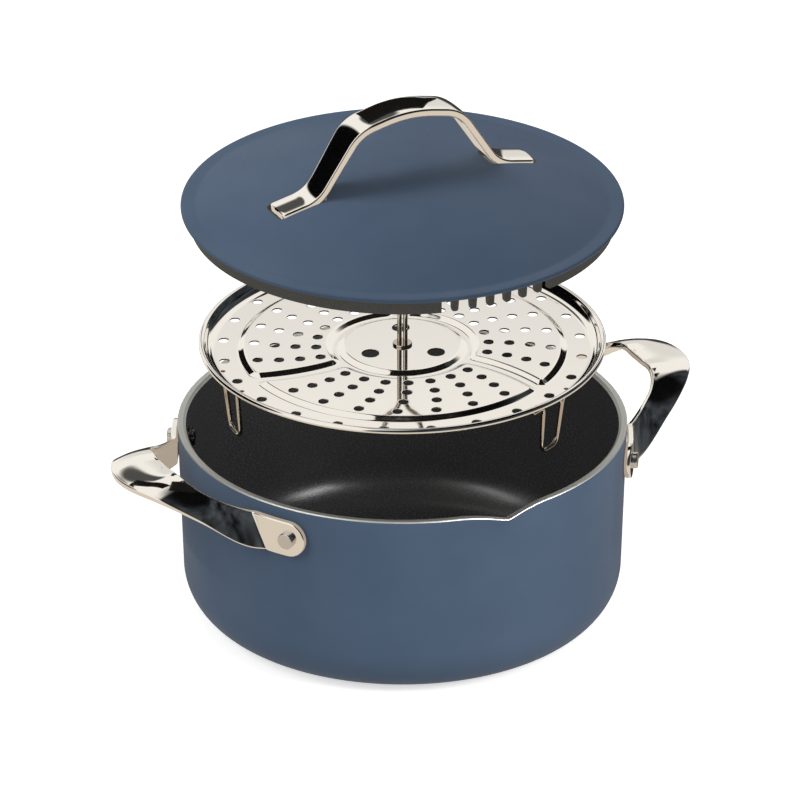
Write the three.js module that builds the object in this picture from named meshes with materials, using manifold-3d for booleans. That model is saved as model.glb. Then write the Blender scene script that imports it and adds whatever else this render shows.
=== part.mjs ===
// Steamer pot with a straining lid and a lift-out steam rack.
// Millimetres, +Z up. The origin is the centre of the pot's flat base, the side handles lie along X
// and the pouring lip faces -Y. The rack and the lid hang above the pot, as when it is taken apart.

import * as THREE from 'three';
import { mergeGeometries, mergeVertices } from 'three/addons/utils/BufferGeometryUtils.js';
import Module from 'manifold-3d';

const wasm = await Module();
wasm.setup();

// Clearance between two pieces that seat on or pass through each other
const FIT = 0.3;

// Pot
const RIM_RADIUS = 125;
const POT_HEIGHT = 113;
const WALL = 4.6;
const BASE_THICKNESS = 5;
const CORNER_RADIUS = 28;
const WALL_DRAFT = 3;
const RIM_EDGE = 0.8;
const RIM_BEVEL = 1.4;
const LIP_HALF_ANGLE = 12.5;
const LIP_REACH = 3.6;
const LIP_DIP = 3.6;
const LIP_FALL = 26;

// Side handles: a strap that lies on the wall at its feet and turns flat at its tip
const SIDE_FOOT_ANGLE = 33.5;
const SIDE_FOOT_DROP = 17.4;
const SIDE_FOOT_WIDTH = 20.6;
const SIDE_FOOT_LENGTH = 16;
const SIDE_TIP_REACH = 50.5;
const SIDE_TIP_RISE = 3.4;
const SIDE_TIP_WIDTH = 28.6;
const SIDE_TIP_TILT = 6;
const SIDE_STRAP = 3.6;
const SIDE_EDGE = 1.1;
const SIDE_WAIST = 8;
const SIDE_ARM_PULL = 30;
const SIDE_TWIST_END = 0.92;
const SIDE_RISE_END = 0.8;
const SIDE_TIP_PULL = 36;

// Handle rivets, with a washer under the head inside the pot
const RIVET_SHANK = 6;
const RIVET_HEAD = 9.4;
const RIVET_HEAD_HEIGHT = 2.8;
const RIVET_HEAD_EDGE = 0.7;
const RIVET_INNER_HEAD = 9.6;
const RIVET_INNER_HEIGHT = 2;
const RIVET_INNER_EDGE = 1.4;
const RIVET_WASHER = 13;
const RIVET_WASHER_HEIGHT = 1.4;

// Lid
const LID_SETBACK = 2.6;
const LID_EDGE = 2.6;
const LID_BAND = 8;
const LID_DOME = 20.5;
const LID_SHELL = 3.2;
const LID_SHOWN_ABOVE = 131.8;

// Silicone ring under the lid, open at the pouring lip where a row of teeth strains
const GASKET_CLEARANCE = 3;
const GASKET_FLANGE = 9.5;
const GASKET_FLANGE_HEIGHT = 1.6;
const GASKET_SKIRT = 4;
const GASKET_DEPTH = 8.5;
const GASKET_TONGUE = 2.6;
const GASKET_TONGUE_HEIGHT = 1.2;
const STRAINER_ANGLE = 33;
const TOOTH_COUNT = 6;
const TOOTH_PITCH = 5.1;
const TOOTH_WIDTH = 4.8;
const TOOTH_TIP_WIDTH = 3.7;
const TOOTH_TIP_ROUND = 1.4;

// Lid handle: a strap whose feet sit in pockets of the lid, each held by a screw from below
const GRIP_FOOT_RADIUS = 66.5;
const GRIP_FOOT_LENGTH = 23;
const GRIP_FOOT_WIDTH = 17.5;
const GRIP_WIDTH = 20.5;
const GRIP_STRAP = 4.4;
const GRIP_EDGE = 1.6;
const GRIP_TOP = 62;
const GRIP_CROWN = 5.2;
const GRIP_SHOULDER = 31;
const GRIP_FOOT_BEND = 22;
const GRIP_SHOULDER_BEND = 22;
const POCKET_DEPTH = 3.6;
const POCKET_END_GAP = 1.6;
const POCKET_SIDE_GAP = 0.5;
const POCKET_HEEL = 5;
const POCKET_CORNER = 3;
const BOSS_WALL = 3;
const BOSS_FLOOR = 3;
const SCREW_SHANK = 5;
const SCREW_HEAD = 9;
const SCREW_HEAD_HEIGHT = 3;
const SCREW_HEAD_EDGE = 1.4;
const SCREW_COVER = 1.4;
const SCREW_WASHER = 12;
const SCREW_WASHER_HEIGHT = 1.2;

// Steam rack
const RACK_CLEARANCE = 4.8;
const RACK_STANDOFF = 33;
const RACK_SHEET = 0.9;
const RACK_LIP_WIDTH = 7.8;
const RACK_LIP_HEIGHT = 6.1;
const RACK_BEAD = 3.4;
const RACK_SHOWN_ABOVE = 44.4;
const RACK_TURN = -27;
const PANEL_HEIGHT = 1.9;
const PANEL_BEVEL = 4.6;
const PANEL_CHANNEL = 3.4;
const CENTRE_PANEL_RADIUS = 36.5;
const OUTER_FLAT = 13.4;
const COLUMN_COUNT = 24;
const SPOKE_COUNT = 3;
const SPOKE_ANGLE = 63.8;
const COLUMN_SWEEP = 5.7;
const COLUMN_CURL = 1.3;
const HOLE = 5.8;
const HOLE_RINGS = 4;
const HOLE_MARGIN = 5;
const OUTER_HOLE_INSET = 4.8;
const OUTER_HOLE_ANGLE = -5.9;
const CENTRE_HOLE = 10;
const CENTRE_HOLE_RADIUS = 21;
const CENTRE_HOLE_ANGLE = 62.5;

// Wire legs and lifting loop of the rack
const WIRE = 2.6;
const LEG_ANGLE = 53.5;
const LEG_INSET = 2;
const LEG_WELD_SPAN = 36;
const LEG_TOP_SPAN = 18;
const LEG_FOOT_SPAN = 14;
const LEG_LEAN = 3;
const LEG_BEND = 5.5;
const LOOP_HEADROOM = 24;
const LOOP_SPACING = 3.2;
const LOOP_WIDTH = 24;
const LOOP_OPENING = 26;
const LOOP_BEND = 10;
const LOOP_TAIL = 2;
const LOOP_WASHER = 11;
const LOOP_WASHER_HEIGHT = 1.3;

// Smoothness of the faceted surfaces
const POT_SEGMENTS = 60;
const LID_SEGMENTS = 60;
const RACK_SEGMENTS = 60;
const SMALL_SEGMENTS = 10;
const HOLE_SIDES = 6;
const WIRE_SIDES = 6;
const CORNER_STEPS = 5;
const DOME_STEPS = 5;
const HOLLOW_STEPS = 3;
const BEAD_STEPS = 5;
const POCKET_CORNER_STEPS = 3;
const SLOT_END_STEPS = 5;
const SIDE_FOOT_END_STEPS = 5;
const SIDE_ARM_STEPS = 14;
const GRIP_STEPS = 36;
const LEG_STEPS = 28;
const LOOP_STEPS = 50;
const FAN_ARC_STEPS = 12;
const FAN_SIDE_STEPS = 4;

// The most of a straight run that the bend at one of its ends may take
const BEND_SHARE = 0.48;

// Points closer together than this are one point
const WELD_DISTANCE = 1e-4;

const radians = THREE.MathUtils.degToRad;
const smooth = (x) => THREE.MathUtils.smoothstep(x, 0, 1);

// Materials
function finish(color, roughness, metalness) {
  return new THREE.MeshStandardMaterial({ color, roughness, metalness });
}
const BLUE_COATING = finish(0x4d5d70, 0.45, 0.1);
const POLISHED_STEEL = finish(0xd9d5cf, 0.12, 1);
const RIVET_STEEL = finish(0xc9c5bf, 0.3, 1);
const SILICONE = finish(0x4a4947, 0.7, 0);

// Merges shared points, drops empty triangles and turns the faces outwards
function weld(geometry) {
  const bare = geometry.index ? geometry.toNonIndexed() : geometry.clone();
  bare.deleteAttribute('normal');
  bare.deleteAttribute('uv');
  bare.clearGroups();
  const merged = mergeVertices(bare, WELD_DISTANCE);
  const point = (i) => new THREE.Vector3().fromBufferAttribute(merged.attributes.position, i);
  const index = merged.index.array;
  const kept = [];
  let volume = 0;
  for (let i = 0; i < index.length; i += 3) {
    const [a, b, c] = [index[i], index[i + 1], index[i + 2]];
    if (a === b || b === c || c === a) continue;
    kept.push(a, b, c);
    volume += point(a).dot(point(b).cross(point(c)));
  }
  if (volume < 0) kept.reverse();
  merged.setIndex(kept);
  return merged;
}

// A closed geometry as a solid that can be joined and cut
function solid(geometry) {
  const closed = weld(geometry);
  const vertProperties = new Float32Array(closed.attributes.position.array);
  const triVerts = new Uint32Array(closed.index.array);
  return new wasm.Manifold(new wasm.Mesh({ numProp: 3, vertProperties, triVerts }));
}

function geometryOf(body) {
  const mesh = body.getMesh();
  const geometry = new THREE.BufferGeometry();
  const points = new Float32Array(mesh.numVert * 3);
  for (let i = 0; i < mesh.numVert; i += 1) {
    const start = i * mesh.numProp;
    points.set(mesh.vertProperties.subarray(start, start + 3), i * 3);
  }
  geometry.setAttribute('position', new THREE.BufferAttribute(points, 3));
  geometry.setIndex(Array.from(mesh.triVerts));
  return geometry;
}

const cut = (body, ...tools) => tools.reduce((left, tool) => left.subtract(solid(tool)), body);
const join = (body, ...extras) => extras.reduce((sum, extra) => sum.add(solid(extra)), body);

function piece(name, geometry, material) {
  const closed = weld(geometry);
  closed.computeVertexNormals();
  const mesh = new THREE.Mesh(closed, material);
  mesh.name = name;
  return mesh;
}

// A profile of [radius, height] pairs turned about Z, with its first column towards -Y
function turned(profile, segments) {
  const points = profile.map(([radius, height]) => new THREE.Vector2(Math.max(radius, 0), height));
  return new THREE.LatheGeometry(points, segments).rotateX(Math.PI / 2);
}

// Points of a circular arc in a profile, from one angle to another in degrees
function arc(centreRadius, centreHeight, radius, from, to, steps) {
  return Array.from({ length: steps + 1 }, (_, i) => {
    const angle = radians(from + (to - from) * i / steps);
    return [centreRadius + radius * Math.cos(angle), centreHeight + radius * Math.sin(angle)];
  });
}

// A closed skin over a row of rings of points; the two end rings are filled by the given triangles
function skin(rings, capTriangles) {
  const count = rings[0].length;
  const index = [];
  for (let row = 0; row + 1 < rings.length; row += 1) {
    for (let i = 0; i < count; i += 1) {
      const a = row * count + i;
      const b = row * count + (i + 1) % count;
      index.push(a, b, b + count, a, b + count, a + count);
    }
  }
  const last = (rings.length - 1) * count;
  for (const [a, b, c] of capTriangles) index.push(a, c, b, last + a, last + b, last + c);
  const geometry = new THREE.BufferGeometry().setFromPoints(rings.flat());
  geometry.setIndex(index);
  return geometry;
}

// A strap: its flat section with broken edges, set at each station along its length
function strap(stations, thickness, edge) {
  const rings = stations.map(({ point, across, face, width }) => {
    const half = width / 2;
    const deep = thickness / 2;
    const broken = Math.min(edge, half / 2);
    const corners = [
      [half - broken, -deep], [half, broken - deep], [half, deep - broken], [half - broken, deep],
      [broken - half, deep], [-half, deep - broken], [-half, broken - deep], [broken - half, -deep],
    ];
    return corners.map(([a, b]) => point.clone().addScaledVector(across, a).addScaledVector(face, b));
  });
  const fan = Array.from({ length: rings[0].length - 2 }, (_, i) => [0, i + 1, i + 2]);
  return skin(rings, fan);
}

// A path of straight runs whose corners are rounded by the given bends
function bentPath(points, bends) {
  const path = new THREE.CurvePath();
  let start = points[0];
  for (let i = 1; i + 1 < points.length; i += 1) {
    const before = points[i - 1].clone().sub(points[i]);
    const after = points[i + 1].clone().sub(points[i]);
    const turn = Math.PI - before.angleTo(after);
    const room = Math.min(before.length(), after.length()) * BEND_SHARE;
    const trim = Math.min(bends[i - 1] * Math.tan(turn / 2), room);
    const enter = points[i].clone().addScaledVector(before.normalize(), trim);
    const leave = points[i].clone().addScaledVector(after.normalize(), trim);
    path.add(new THREE.LineCurve3(start, enter));
    path.add(new THREE.QuadraticBezierCurve3(enter, points[i].clone(), leave));
    start = leave;
  }
  path.add(new THREE.LineCurve3(start, points[points.length - 1]));
  return path;
}

// Round wire along a path
function wire(path, steps) {
  const section = new THREE.Shape(Array.from({ length: WIRE_SIDES }, (_, i) => {
    const angle = 2 * Math.PI * i / WIRE_SIDES;
    return new THREE.Vector2(Math.cos(angle), Math.sin(angle)).multiplyScalar(WIRE / 2);
  }));
  return new THREE.ExtrudeGeometry(section, { steps, extrudePath: path });
}

const peg = (radius, bottom, top, sides) => new THREE.CylinderGeometry(radius, radius, top - bottom, sides)
  .rotateX(Math.PI / 2).translate(0, 0, (bottom + top) / 2);

// Pot

const wallRadius = (z) => RIM_RADIUS - WALL_DRAFT * (POT_HEIGHT - z) / (POT_HEIGHT - CORNER_RADIUS);
const innerRadius = (z) => wallRadius(z) - WALL;
const INNER_CORNER = Math.max(CORNER_RADIUS - WALL, WALL);
const INNER_CORNER_TOP = BASE_THICKNESS + INNER_CORNER;
const FLOOR_RADIUS = innerRadius(INNER_CORNER_TOP) - INNER_CORNER;

// Height of the inside of the base at a radius, which rises into the rounded corner
function floorHeight(radius) {
  const past = Math.max(radius - FLOOR_RADIUS, 0);
  return INNER_CORNER_TOP - Math.sqrt(Math.max(INNER_CORNER ** 2 - past ** 2, 0));
}

// Draws the wall out and the rim down into a pouring lip around -Y
function drawLip(geometry) {
  const position = geometry.attributes.position;
  for (let i = 0; i < position.count; i += 1) {
    const [x, y, z] = [position.getX(i), position.getY(i), position.getZ(i)];
    const off = Math.abs(THREE.MathUtils.radToDeg(Math.atan2(x, -y))) / LIP_HALF_ANGLE;
    const share = Math.max(1 - off, 0) ** 2;
    const height = THREE.MathUtils.clamp(1 - (POT_HEIGHT - z) / LIP_FALL, 0, 1) ** 2;
    const radius = Math.hypot(x, y);
    const stretch = radius > 0 ? 1 + LIP_REACH * share * height / radius : 1;
    position.setXYZ(i, x * stretch, y * stretch, z - LIP_DIP * share * height);
  }
  return geometry;
}

const SIDE_FOOT_HEIGHT = POT_HEIGHT - SIDE_FOOT_DROP;
const SIDE_HOLE = RIVET_SHANK / 2 + FIT;

// A round rod along X, for holes and rivets that lie square to the wall
const rodAlongX = (radius, from, to) => peg(radius, from, to, SMALL_SEGMENTS).rotateY(Math.PI / 2);

function potBody() {
  const lipStart = POT_HEIGHT - LIP_FALL;
  const lipMiddle = POT_HEIGHT - LIP_FALL / 2;
  const inner = innerRadius(POT_HEIGHT);
  const profile = [
    [0, 0],
    ...arc(wallRadius(CORNER_RADIUS) - CORNER_RADIUS, CORNER_RADIUS, CORNER_RADIUS, -90, 0, CORNER_STEPS),
    [wallRadius(lipStart), lipStart],
    [wallRadius(lipMiddle), lipMiddle],
    [wallRadius(POT_HEIGHT - RIM_EDGE), POT_HEIGHT - RIM_EDGE],
    [RIM_RADIUS - RIM_EDGE, POT_HEIGHT],
    [inner + RIM_BEVEL, POT_HEIGHT],
    [innerRadius(POT_HEIGHT - RIM_BEVEL), POT_HEIGHT - RIM_BEVEL],
    [innerRadius(lipMiddle), lipMiddle],
    [innerRadius(lipStart), lipStart],
    ...arc(FLOOR_RADIUS, INNER_CORNER_TOP, INNER_CORNER, 0, -90, CORNER_STEPS),
    [0, BASE_THICKNESS],
  ];
  let body = solid(drawLip(turned(profile, POT_SEGMENTS)));
  for (const side of [0, 180]) {
    for (const angle of [SIDE_FOOT_ANGLE, -SIDE_FOOT_ANGLE]) {
      const hole = rodAlongX(SIDE_HOLE, innerRadius(0) - WALL, RIM_RADIUS + WALL);
      hole.rotateZ(radians(side + angle)).translate(0, 0, SIDE_FOOT_HEIGHT);
      body = cut(body, hole);
    }
  }
  return geometryOf(body);
}

// Side handles

const SIDE_FOOT_INNER = wallRadius(SIDE_FOOT_HEIGHT + SIDE_FOOT_WIDTH / 2) + FIT;
const SIDE_FOOT_MIDDLE = SIDE_FOOT_INNER + SIDE_STRAP / 2;

// One half of the strap's stations, from the round end of its foot to the middle of its tip
function sideHalf() {
  const stations = [];
  const along = (length) => length / SIDE_FOOT_MIDDLE;
  const roundEnd = SIDE_FOOT_WIDTH / 2;
  const footEnd = radians(SIDE_FOOT_ANGLE) + along(roundEnd);
  const add = (x, y, z, heading, tilt, width) => {
    const outward = new THREE.Vector3(-heading.y, heading.x, 0);
    const up = new THREE.Vector3(0, 0, 1);
    stations.push({
      point: new THREE.Vector3(x, y, z),
      across: up.clone().multiplyScalar(Math.sin(tilt)).addScaledVector(outward, -Math.cos(tilt)),
      face: outward.clone().multiplyScalar(Math.sin(tilt)).addScaledVector(up, Math.cos(tilt)),
      width,
    });
  };
  const addFoot = (distance) => {
    const angle = footEnd - along(distance);
    const reach = Math.min(distance / roundEnd, 1);
    const width = SIDE_FOOT_WIDTH * Math.sqrt(1 - (1 - reach) ** 2);
    const heading = new THREE.Vector2(Math.sin(angle), -Math.cos(angle));
    const [x, y] = [SIDE_FOOT_MIDDLE * Math.cos(angle), SIDE_FOOT_MIDDLE * Math.sin(angle)];
    add(x, y, SIDE_FOOT_HEIGHT, heading, Math.PI / 2, width);
    return { point: new THREE.Vector2(x, y), heading };
  };
  for (let i = 0; i <= SIDE_FOOT_END_STEPS; i += 1) {
    addFoot(Math.max(roundEnd * (i / SIDE_FOOT_END_STEPS) ** 2, FIT));
  }
  const root = addFoot(SIDE_FOOT_LENGTH);
  const tipX = RIM_RADIUS + SIDE_TIP_REACH - SIDE_TIP_WIDTH / 2 * Math.cos(radians(SIDE_TIP_TILT));
  const arm = new THREE.CubicBezierCurve(
    root.point,
    root.point.clone().addScaledVector(root.heading, SIDE_ARM_PULL),
    new THREE.Vector2(tipX, SIDE_TIP_PULL),
    new THREE.Vector2(tipX, 0),
  );
  for (let i = 1; i <= SIDE_ARM_STEPS; i += 1) {
    const share = i / SIDE_ARM_STEPS;
    const point = arm.getPointAt(share);
    const turn = smooth(share / SIDE_TWIST_END);
    const waist = SIDE_WAIST * Math.sin(Math.PI * share) ** 2;
    add(
      point.x, point.y,
      THREE.MathUtils.lerp(SIDE_FOOT_HEIGHT, POT_HEIGHT + SIDE_TIP_RISE, smooth(share / SIDE_RISE_END)),
      arm.getTangentAt(share),
      THREE.MathUtils.lerp(Math.PI / 2, radians(SIDE_TIP_TILT), turn),
      THREE.MathUtils.lerp(SIDE_FOOT_WIDTH, SIDE_TIP_WIDTH, turn) - waist,
    );
  }
  return stations;
}

function sideHandle() {
  const half = sideHalf();
  const mirror = (v) => new THREE.Vector3(v.x, -v.y, v.z);
  const other = half.slice(0, -1).reverse().map(({ point, across, face, width }) => (
    { point: mirror(point), across: mirror(across), face: mirror(face), width }
  ));
  let body = solid(strap([...half, ...other], SIDE_STRAP, SIDE_EDGE));
  for (const angle of [SIDE_FOOT_ANGLE, -SIDE_FOOT_ANGLE]) {
    const hole = rodAlongX(SIDE_HOLE, SIDE_FOOT_INNER - WALL, SIDE_FOOT_INNER + SIDE_STRAP + WALL);
    body = cut(body, hole.rotateZ(radians(angle)).translate(0, 0, SIDE_FOOT_HEIGHT));
  }
  return geometryOf(body);
}

// Where a flat washer meets the round, leaning inside of the wall without cutting into it
const RIVET_WASHER_SEAT = Math.sqrt(
  innerRadius(SIDE_FOOT_HEIGHT - RIVET_WASHER / 2) ** 2 - (RIVET_WASHER / 2) ** 2,
) - FIT / 2;
const RIVET_HEAD_SEAT = SIDE_FOOT_INNER + SIDE_STRAP + FIT;

function handleRivet() {
  const innerSeat = RIVET_WASHER_SEAT - RIVET_WASHER_HEIGHT - FIT;
  const [shank, head, innerHead] = [RIVET_SHANK / 2, RIVET_HEAD / 2, RIVET_INNER_HEAD / 2];
  const profile = [
    [0, innerSeat - RIVET_INNER_HEIGHT],
    [innerHead - RIVET_INNER_EDGE, innerSeat - RIVET_INNER_HEIGHT],
    [innerHead, innerSeat - RIVET_INNER_HEIGHT + Math.min(RIVET_INNER_EDGE, RIVET_INNER_HEIGHT / 2)],
    [innerHead, innerSeat],
    [shank, innerSeat],
    [shank, RIVET_HEAD_SEAT],
    [head, RIVET_HEAD_SEAT],
    [head, RIVET_HEAD_SEAT + RIVET_HEAD_HEIGHT - RIVET_HEAD_EDGE],
    [head - RIVET_HEAD_EDGE, RIVET_HEAD_SEAT + RIVET_HEAD_HEIGHT],
    [0, RIVET_HEAD_SEAT + RIVET_HEAD_HEIGHT],
  ];
  return turned(profile, SMALL_SEGMENTS).rotateY(Math.PI / 2);
}

// A flat ring about Z between two heights
const ring = (inner, outer, bottom, top) => turned(
  [[inner, bottom], [outer, bottom], [outer, top], [inner, top], [inner, bottom]],
  SMALL_SEGMENTS,
);

const rivetWasher = () => ring(
  SIDE_HOLE, RIVET_WASHER / 2, RIVET_WASHER_SEAT - RIVET_WASHER_HEIGHT, RIVET_WASHER_SEAT,
).rotateY(Math.PI / 2);

function sideHandleSet(side, turn) {
  const set = new THREE.Group();
  set.rotation.z = radians(turn);
  set.add(piece(`${side}_handle`, sideHandle(), POLISHED_STEEL));
  for (const [place, angle] of [['a', SIDE_FOOT_ANGLE], ['b', -SIDE_FOOT_ANGLE]]) {
    const foot = new THREE.Group();
    foot.rotation.z = radians(angle);
    foot.position.z = SIDE_FOOT_HEIGHT;
    foot.add(piece(`${side}_handle_rivet_${place}`, handleRivet(), RIVET_STEEL));
    foot.add(piece(`${side}_rivet_washer_${place}`, rivetWasher(), RIVET_STEEL));
    set.add(foot);
  }
  return set;
}

// Lid, in its own frame: height 0 is the face that rests on the rim

const LID_RADIUS = RIM_RADIUS - LID_SETBACK;
const DOME_FOOT = LID_RADIUS - LID_BAND;
const DOME_RADIUS = (DOME_FOOT ** 2 + LID_DOME ** 2) / (2 * LID_DOME);
const DOME_CENTRE = LID_EDGE + LID_DOME - DOME_RADIUS;
const domeHeight = (radius) => DOME_CENTRE + Math.sqrt(DOME_RADIUS ** 2 - radius ** 2);
const GASKET_RADIUS = innerRadius(POT_HEIGHT) - GASKET_CLEARANCE;
const GASKET_INNER = GASKET_RADIUS - GASKET_FLANGE;
const TONGUE_RADIUS = GASKET_INNER + GASKET_FLANGE / 2;

// The frame of a handle foot: its origin on the dome, X down the slope and Z square to the dome
function footFrame(side) {
  const slope = Math.asin(GRIP_FOOT_RADIUS / DOME_RADIUS);
  const down = new THREE.Vector3(side * Math.cos(slope), 0, -Math.sin(slope));
  const across = new THREE.Vector3(0, side, 0);
  const out = new THREE.Vector3(side * Math.sin(slope), 0, Math.cos(slope));
  const frame = new THREE.Matrix4().makeBasis(down, across, out);
  return frame.setPosition(side * GRIP_FOOT_RADIUS, 0, domeHeight(GRIP_FOOT_RADIUS));
}

// A block with rounded corners around a handle foot, grown by a margin, between two heights
function footBlock(margin, bottom, top) {
  const inner = -GRIP_FOOT_LENGTH / 2 - POCKET_HEEL - margin;
  const outer = GRIP_FOOT_LENGTH / 2 + POCKET_END_GAP + margin;
  const half = GRIP_FOOT_WIDTH / 2 + POCKET_SIDE_GAP + margin;
  const corner = POCKET_CORNER + margin;
  const shape = new THREE.Shape();
  shape.absarc(outer - corner, half - corner, corner, 0, Math.PI / 2);
  shape.absarc(inner + corner, half - corner, corner, Math.PI / 2, Math.PI);
  shape.absarc(inner + corner, corner - half, corner, Math.PI, 1.5 * Math.PI);
  shape.absarc(outer - corner, corner - half, corner, 1.5 * Math.PI, 2 * Math.PI);
  const settings = { depth: top - bottom, bevelEnabled: false, curveSegments: POCKET_CORNER_STEPS };
  return new THREE.ExtrudeGeometry(shape, settings).translate(0, 0, bottom);
}

const BOSS_BOTTOM = -POCKET_DEPTH - BOSS_FLOOR;
const SCREW_HOLE = SCREW_SHANK / 2 + FIT;
const FOOT_BOTTOM = FIT - POCKET_DEPTH;
const SCREW_REACH = FOOT_BOTTOM + GRIP_STRAP - SCREW_COVER;

function lidShell() {
  const edge = LID_EDGE / 2;
  const dome = Array.from({ length: DOME_STEPS + 1 }, (_, i) => DOME_FOOT * i / DOME_STEPS);
  const hollow = GASKET_INNER - LID_SHELL;
  const under = Array.from({ length: HOLLOW_STEPS + 1 }, (_, i) => hollow * (1 - i / HOLLOW_STEPS));
  const grooveIn = TONGUE_RADIUS - GASKET_TONGUE / 2 - FIT;
  const grooveOut = TONGUE_RADIUS + GASKET_TONGUE / 2 + FIT;
  const profile = [
    ...dome.map((radius) => [radius, domeHeight(radius)]),
    [LID_RADIUS - edge, LID_EDGE],
    ...arc(LID_RADIUS - edge, edge, edge, 45, -45, 2),
    [LID_RADIUS - edge, 0],
    [grooveOut, 0],
    [grooveOut, GASKET_TONGUE_HEIGHT],
    [grooveIn, GASKET_TONGUE_HEIGHT],
    [grooveIn, 0],
    [GASKET_INNER, 0],
    ...under.map((radius) => [radius, domeHeight(radius) - LID_SHELL]),
  ];
  let body = solid(turned(profile, LID_SEGMENTS));
  for (const side of [1, -1]) {
    const frame = footFrame(side);
    body = join(body, footBlock(BOSS_WALL, BOSS_BOTTOM, -LID_SHELL / 2).applyMatrix4(frame));
  }
  for (const side of [1, -1]) {
    const frame = footFrame(side);
    const pocket = footBlock(0, -POCKET_DEPTH, GRIP_STRAP + POCKET_DEPTH);
    const hole = peg(SCREW_HOLE, BOSS_BOTTOM - BOSS_FLOOR, GRIP_STRAP, SMALL_SEGMENTS);
    body = cut(body, pocket.applyMatrix4(frame), hole.applyMatrix4(frame));
  }
  return geometryOf(body);
}

function lidGasket() {
  const top = -FIT;
  const flange = top - GASKET_FLANGE_HEIGHT;
  const bottom = top - GASKET_DEPTH;
  const [tongueIn, tongueOut] = [TONGUE_RADIUS - GASKET_TONGUE / 2, TONGUE_RADIUS + GASKET_TONGUE / 2];
  const tongueTop = GASKET_TONGUE_HEIGHT - FIT;
  const skirtIn = GASKET_RADIUS - GASKET_SKIRT;
  const profile = [
    [GASKET_INNER, flange],
    [skirtIn, flange],
    [skirtIn, bottom],
    [GASKET_RADIUS, bottom],
    [GASKET_RADIUS, top],
    [tongueOut, top],
    [tongueOut, tongueTop],
    [tongueIn, tongueTop],
    [tongueIn, top],
    [GASKET_INNER, top],
    [GASKET_INNER, flange],
  ];
  const half = radians(STRAINER_ANGLE / 2);
  const far = RIM_RADIUS / Math.cos(half);
  const wedge = new THREE.Shape([
    new THREE.Vector2(0, 0),
    new THREE.Vector2(-far * Math.sin(half), -far * Math.cos(half)),
    new THREE.Vector2(far * Math.sin(half), -far * Math.cos(half)),
  ]);
  const opening = new THREE.ExtrudeGeometry(wedge, { depth: GASKET_DEPTH, bevelEnabled: false });
  let body = cut(solid(turned(profile, LID_SEGMENTS)), opening.translate(0, 0, flange - GASKET_DEPTH));
  const tooth = [
    [0, bottom],
    [TOOTH_TIP_WIDTH / 2 - TOOTH_TIP_ROUND, bottom],
    [TOOTH_TIP_WIDTH / 2, bottom + TOOTH_TIP_ROUND],
    [TOOTH_WIDTH / 2, flange],
    [TOOTH_WIDTH / 2, (flange + top) / 2],
    [0, (flange + top) / 2],
  ];
  for (let i = 0; i < TOOTH_COUNT; i += 1) {
    const angle = radians((i - (TOOTH_COUNT - 1) / 2) * TOOTH_PITCH);
    const place = turned(tooth, SMALL_SEGMENTS).translate(0, TOOTH_WIDTH / 2 - GASKET_RADIUS, 0);
    body = join(body, place.rotateZ(angle));
  }
  return geometryOf(body);
}

function lidHandle() {
  const middle = FOOT_BOTTOM + GRIP_STRAP / 2;
  const onFoot = (side, x) => new THREE.Vector3(x, 0, middle).applyMatrix4(footFrame(side));
  const footEnd = GRIP_FOOT_LENGTH / 2;
  const crown = GRIP_TOP - GRIP_STRAP / 2;
  const shoulder = (side) => new THREE.Vector3(side * GRIP_SHOULDER, 0, crown - GRIP_CROWN);
  const aboveCrown = GRIP_CROWN * BEND_SHARE / (2 - BEND_SHARE);
  // The crown is as round as its two runs allow
  const fullBend = Infinity;
  const path = bentPath(
    [
      onFoot(-1, footEnd), onFoot(-1, -footEnd), shoulder(-1),
      new THREE.Vector3(0, 0, crown + aboveCrown),
      shoulder(1), onFoot(1, -footEnd), onFoot(1, footEnd),
    ],
    [GRIP_FOOT_BEND, GRIP_SHOULDER_BEND, fullBend, GRIP_SHOULDER_BEND, GRIP_FOOT_BEND],
  );
  const across = new THREE.Vector3(0, 1, 0);
  const footTop = onFoot(1, -footEnd).z;
  const stations = path.getSpacedPoints(GRIP_STEPS).map((point, i) => {
    const rise = smooth((point.z - footTop) / (GRIP_TOP - footTop));
    const face = new THREE.Vector3().crossVectors(path.getTangentAt(i / GRIP_STEPS), across);
    return { point, across, face, width: THREE.MathUtils.lerp(GRIP_FOOT_WIDTH, GRIP_WIDTH, rise) };
  });
  let body = solid(strap(stations, GRIP_STRAP, GRIP_EDGE));
  for (const side of [1, -1]) {
    const hole = peg(SCREW_HOLE, FOOT_BOTTOM - GRIP_STRAP, SCREW_REACH + FIT, SMALL_SEGMENTS);
    body = cut(body, hole.applyMatrix4(footFrame(side)));
  }
  return geometryOf(body);
}

function lidScrew() {
  const seat = BOSS_BOTTOM - FIT - SCREW_WASHER_HEIGHT - FIT;
  const [shank, head] = [SCREW_SHANK / 2, SCREW_HEAD / 2];
  return turned([
    [0, seat - SCREW_HEAD_HEIGHT],
    [head - SCREW_HEAD_EDGE, seat - SCREW_HEAD_HEIGHT],
    [head, seat - SCREW_HEAD_HEIGHT + SCREW_HEAD_EDGE],
    [head, seat],
    [shank, seat],
    [shank, SCREW_REACH],
    [0, SCREW_REACH],
  ], SMALL_SEGMENTS);
}

const lidWasher = () => ring(
  SCREW_HOLE, SCREW_WASHER / 2, BOSS_BOTTOM - FIT - SCREW_WASHER_HEIGHT, BOSS_BOTTOM - FIT,
);

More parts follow.
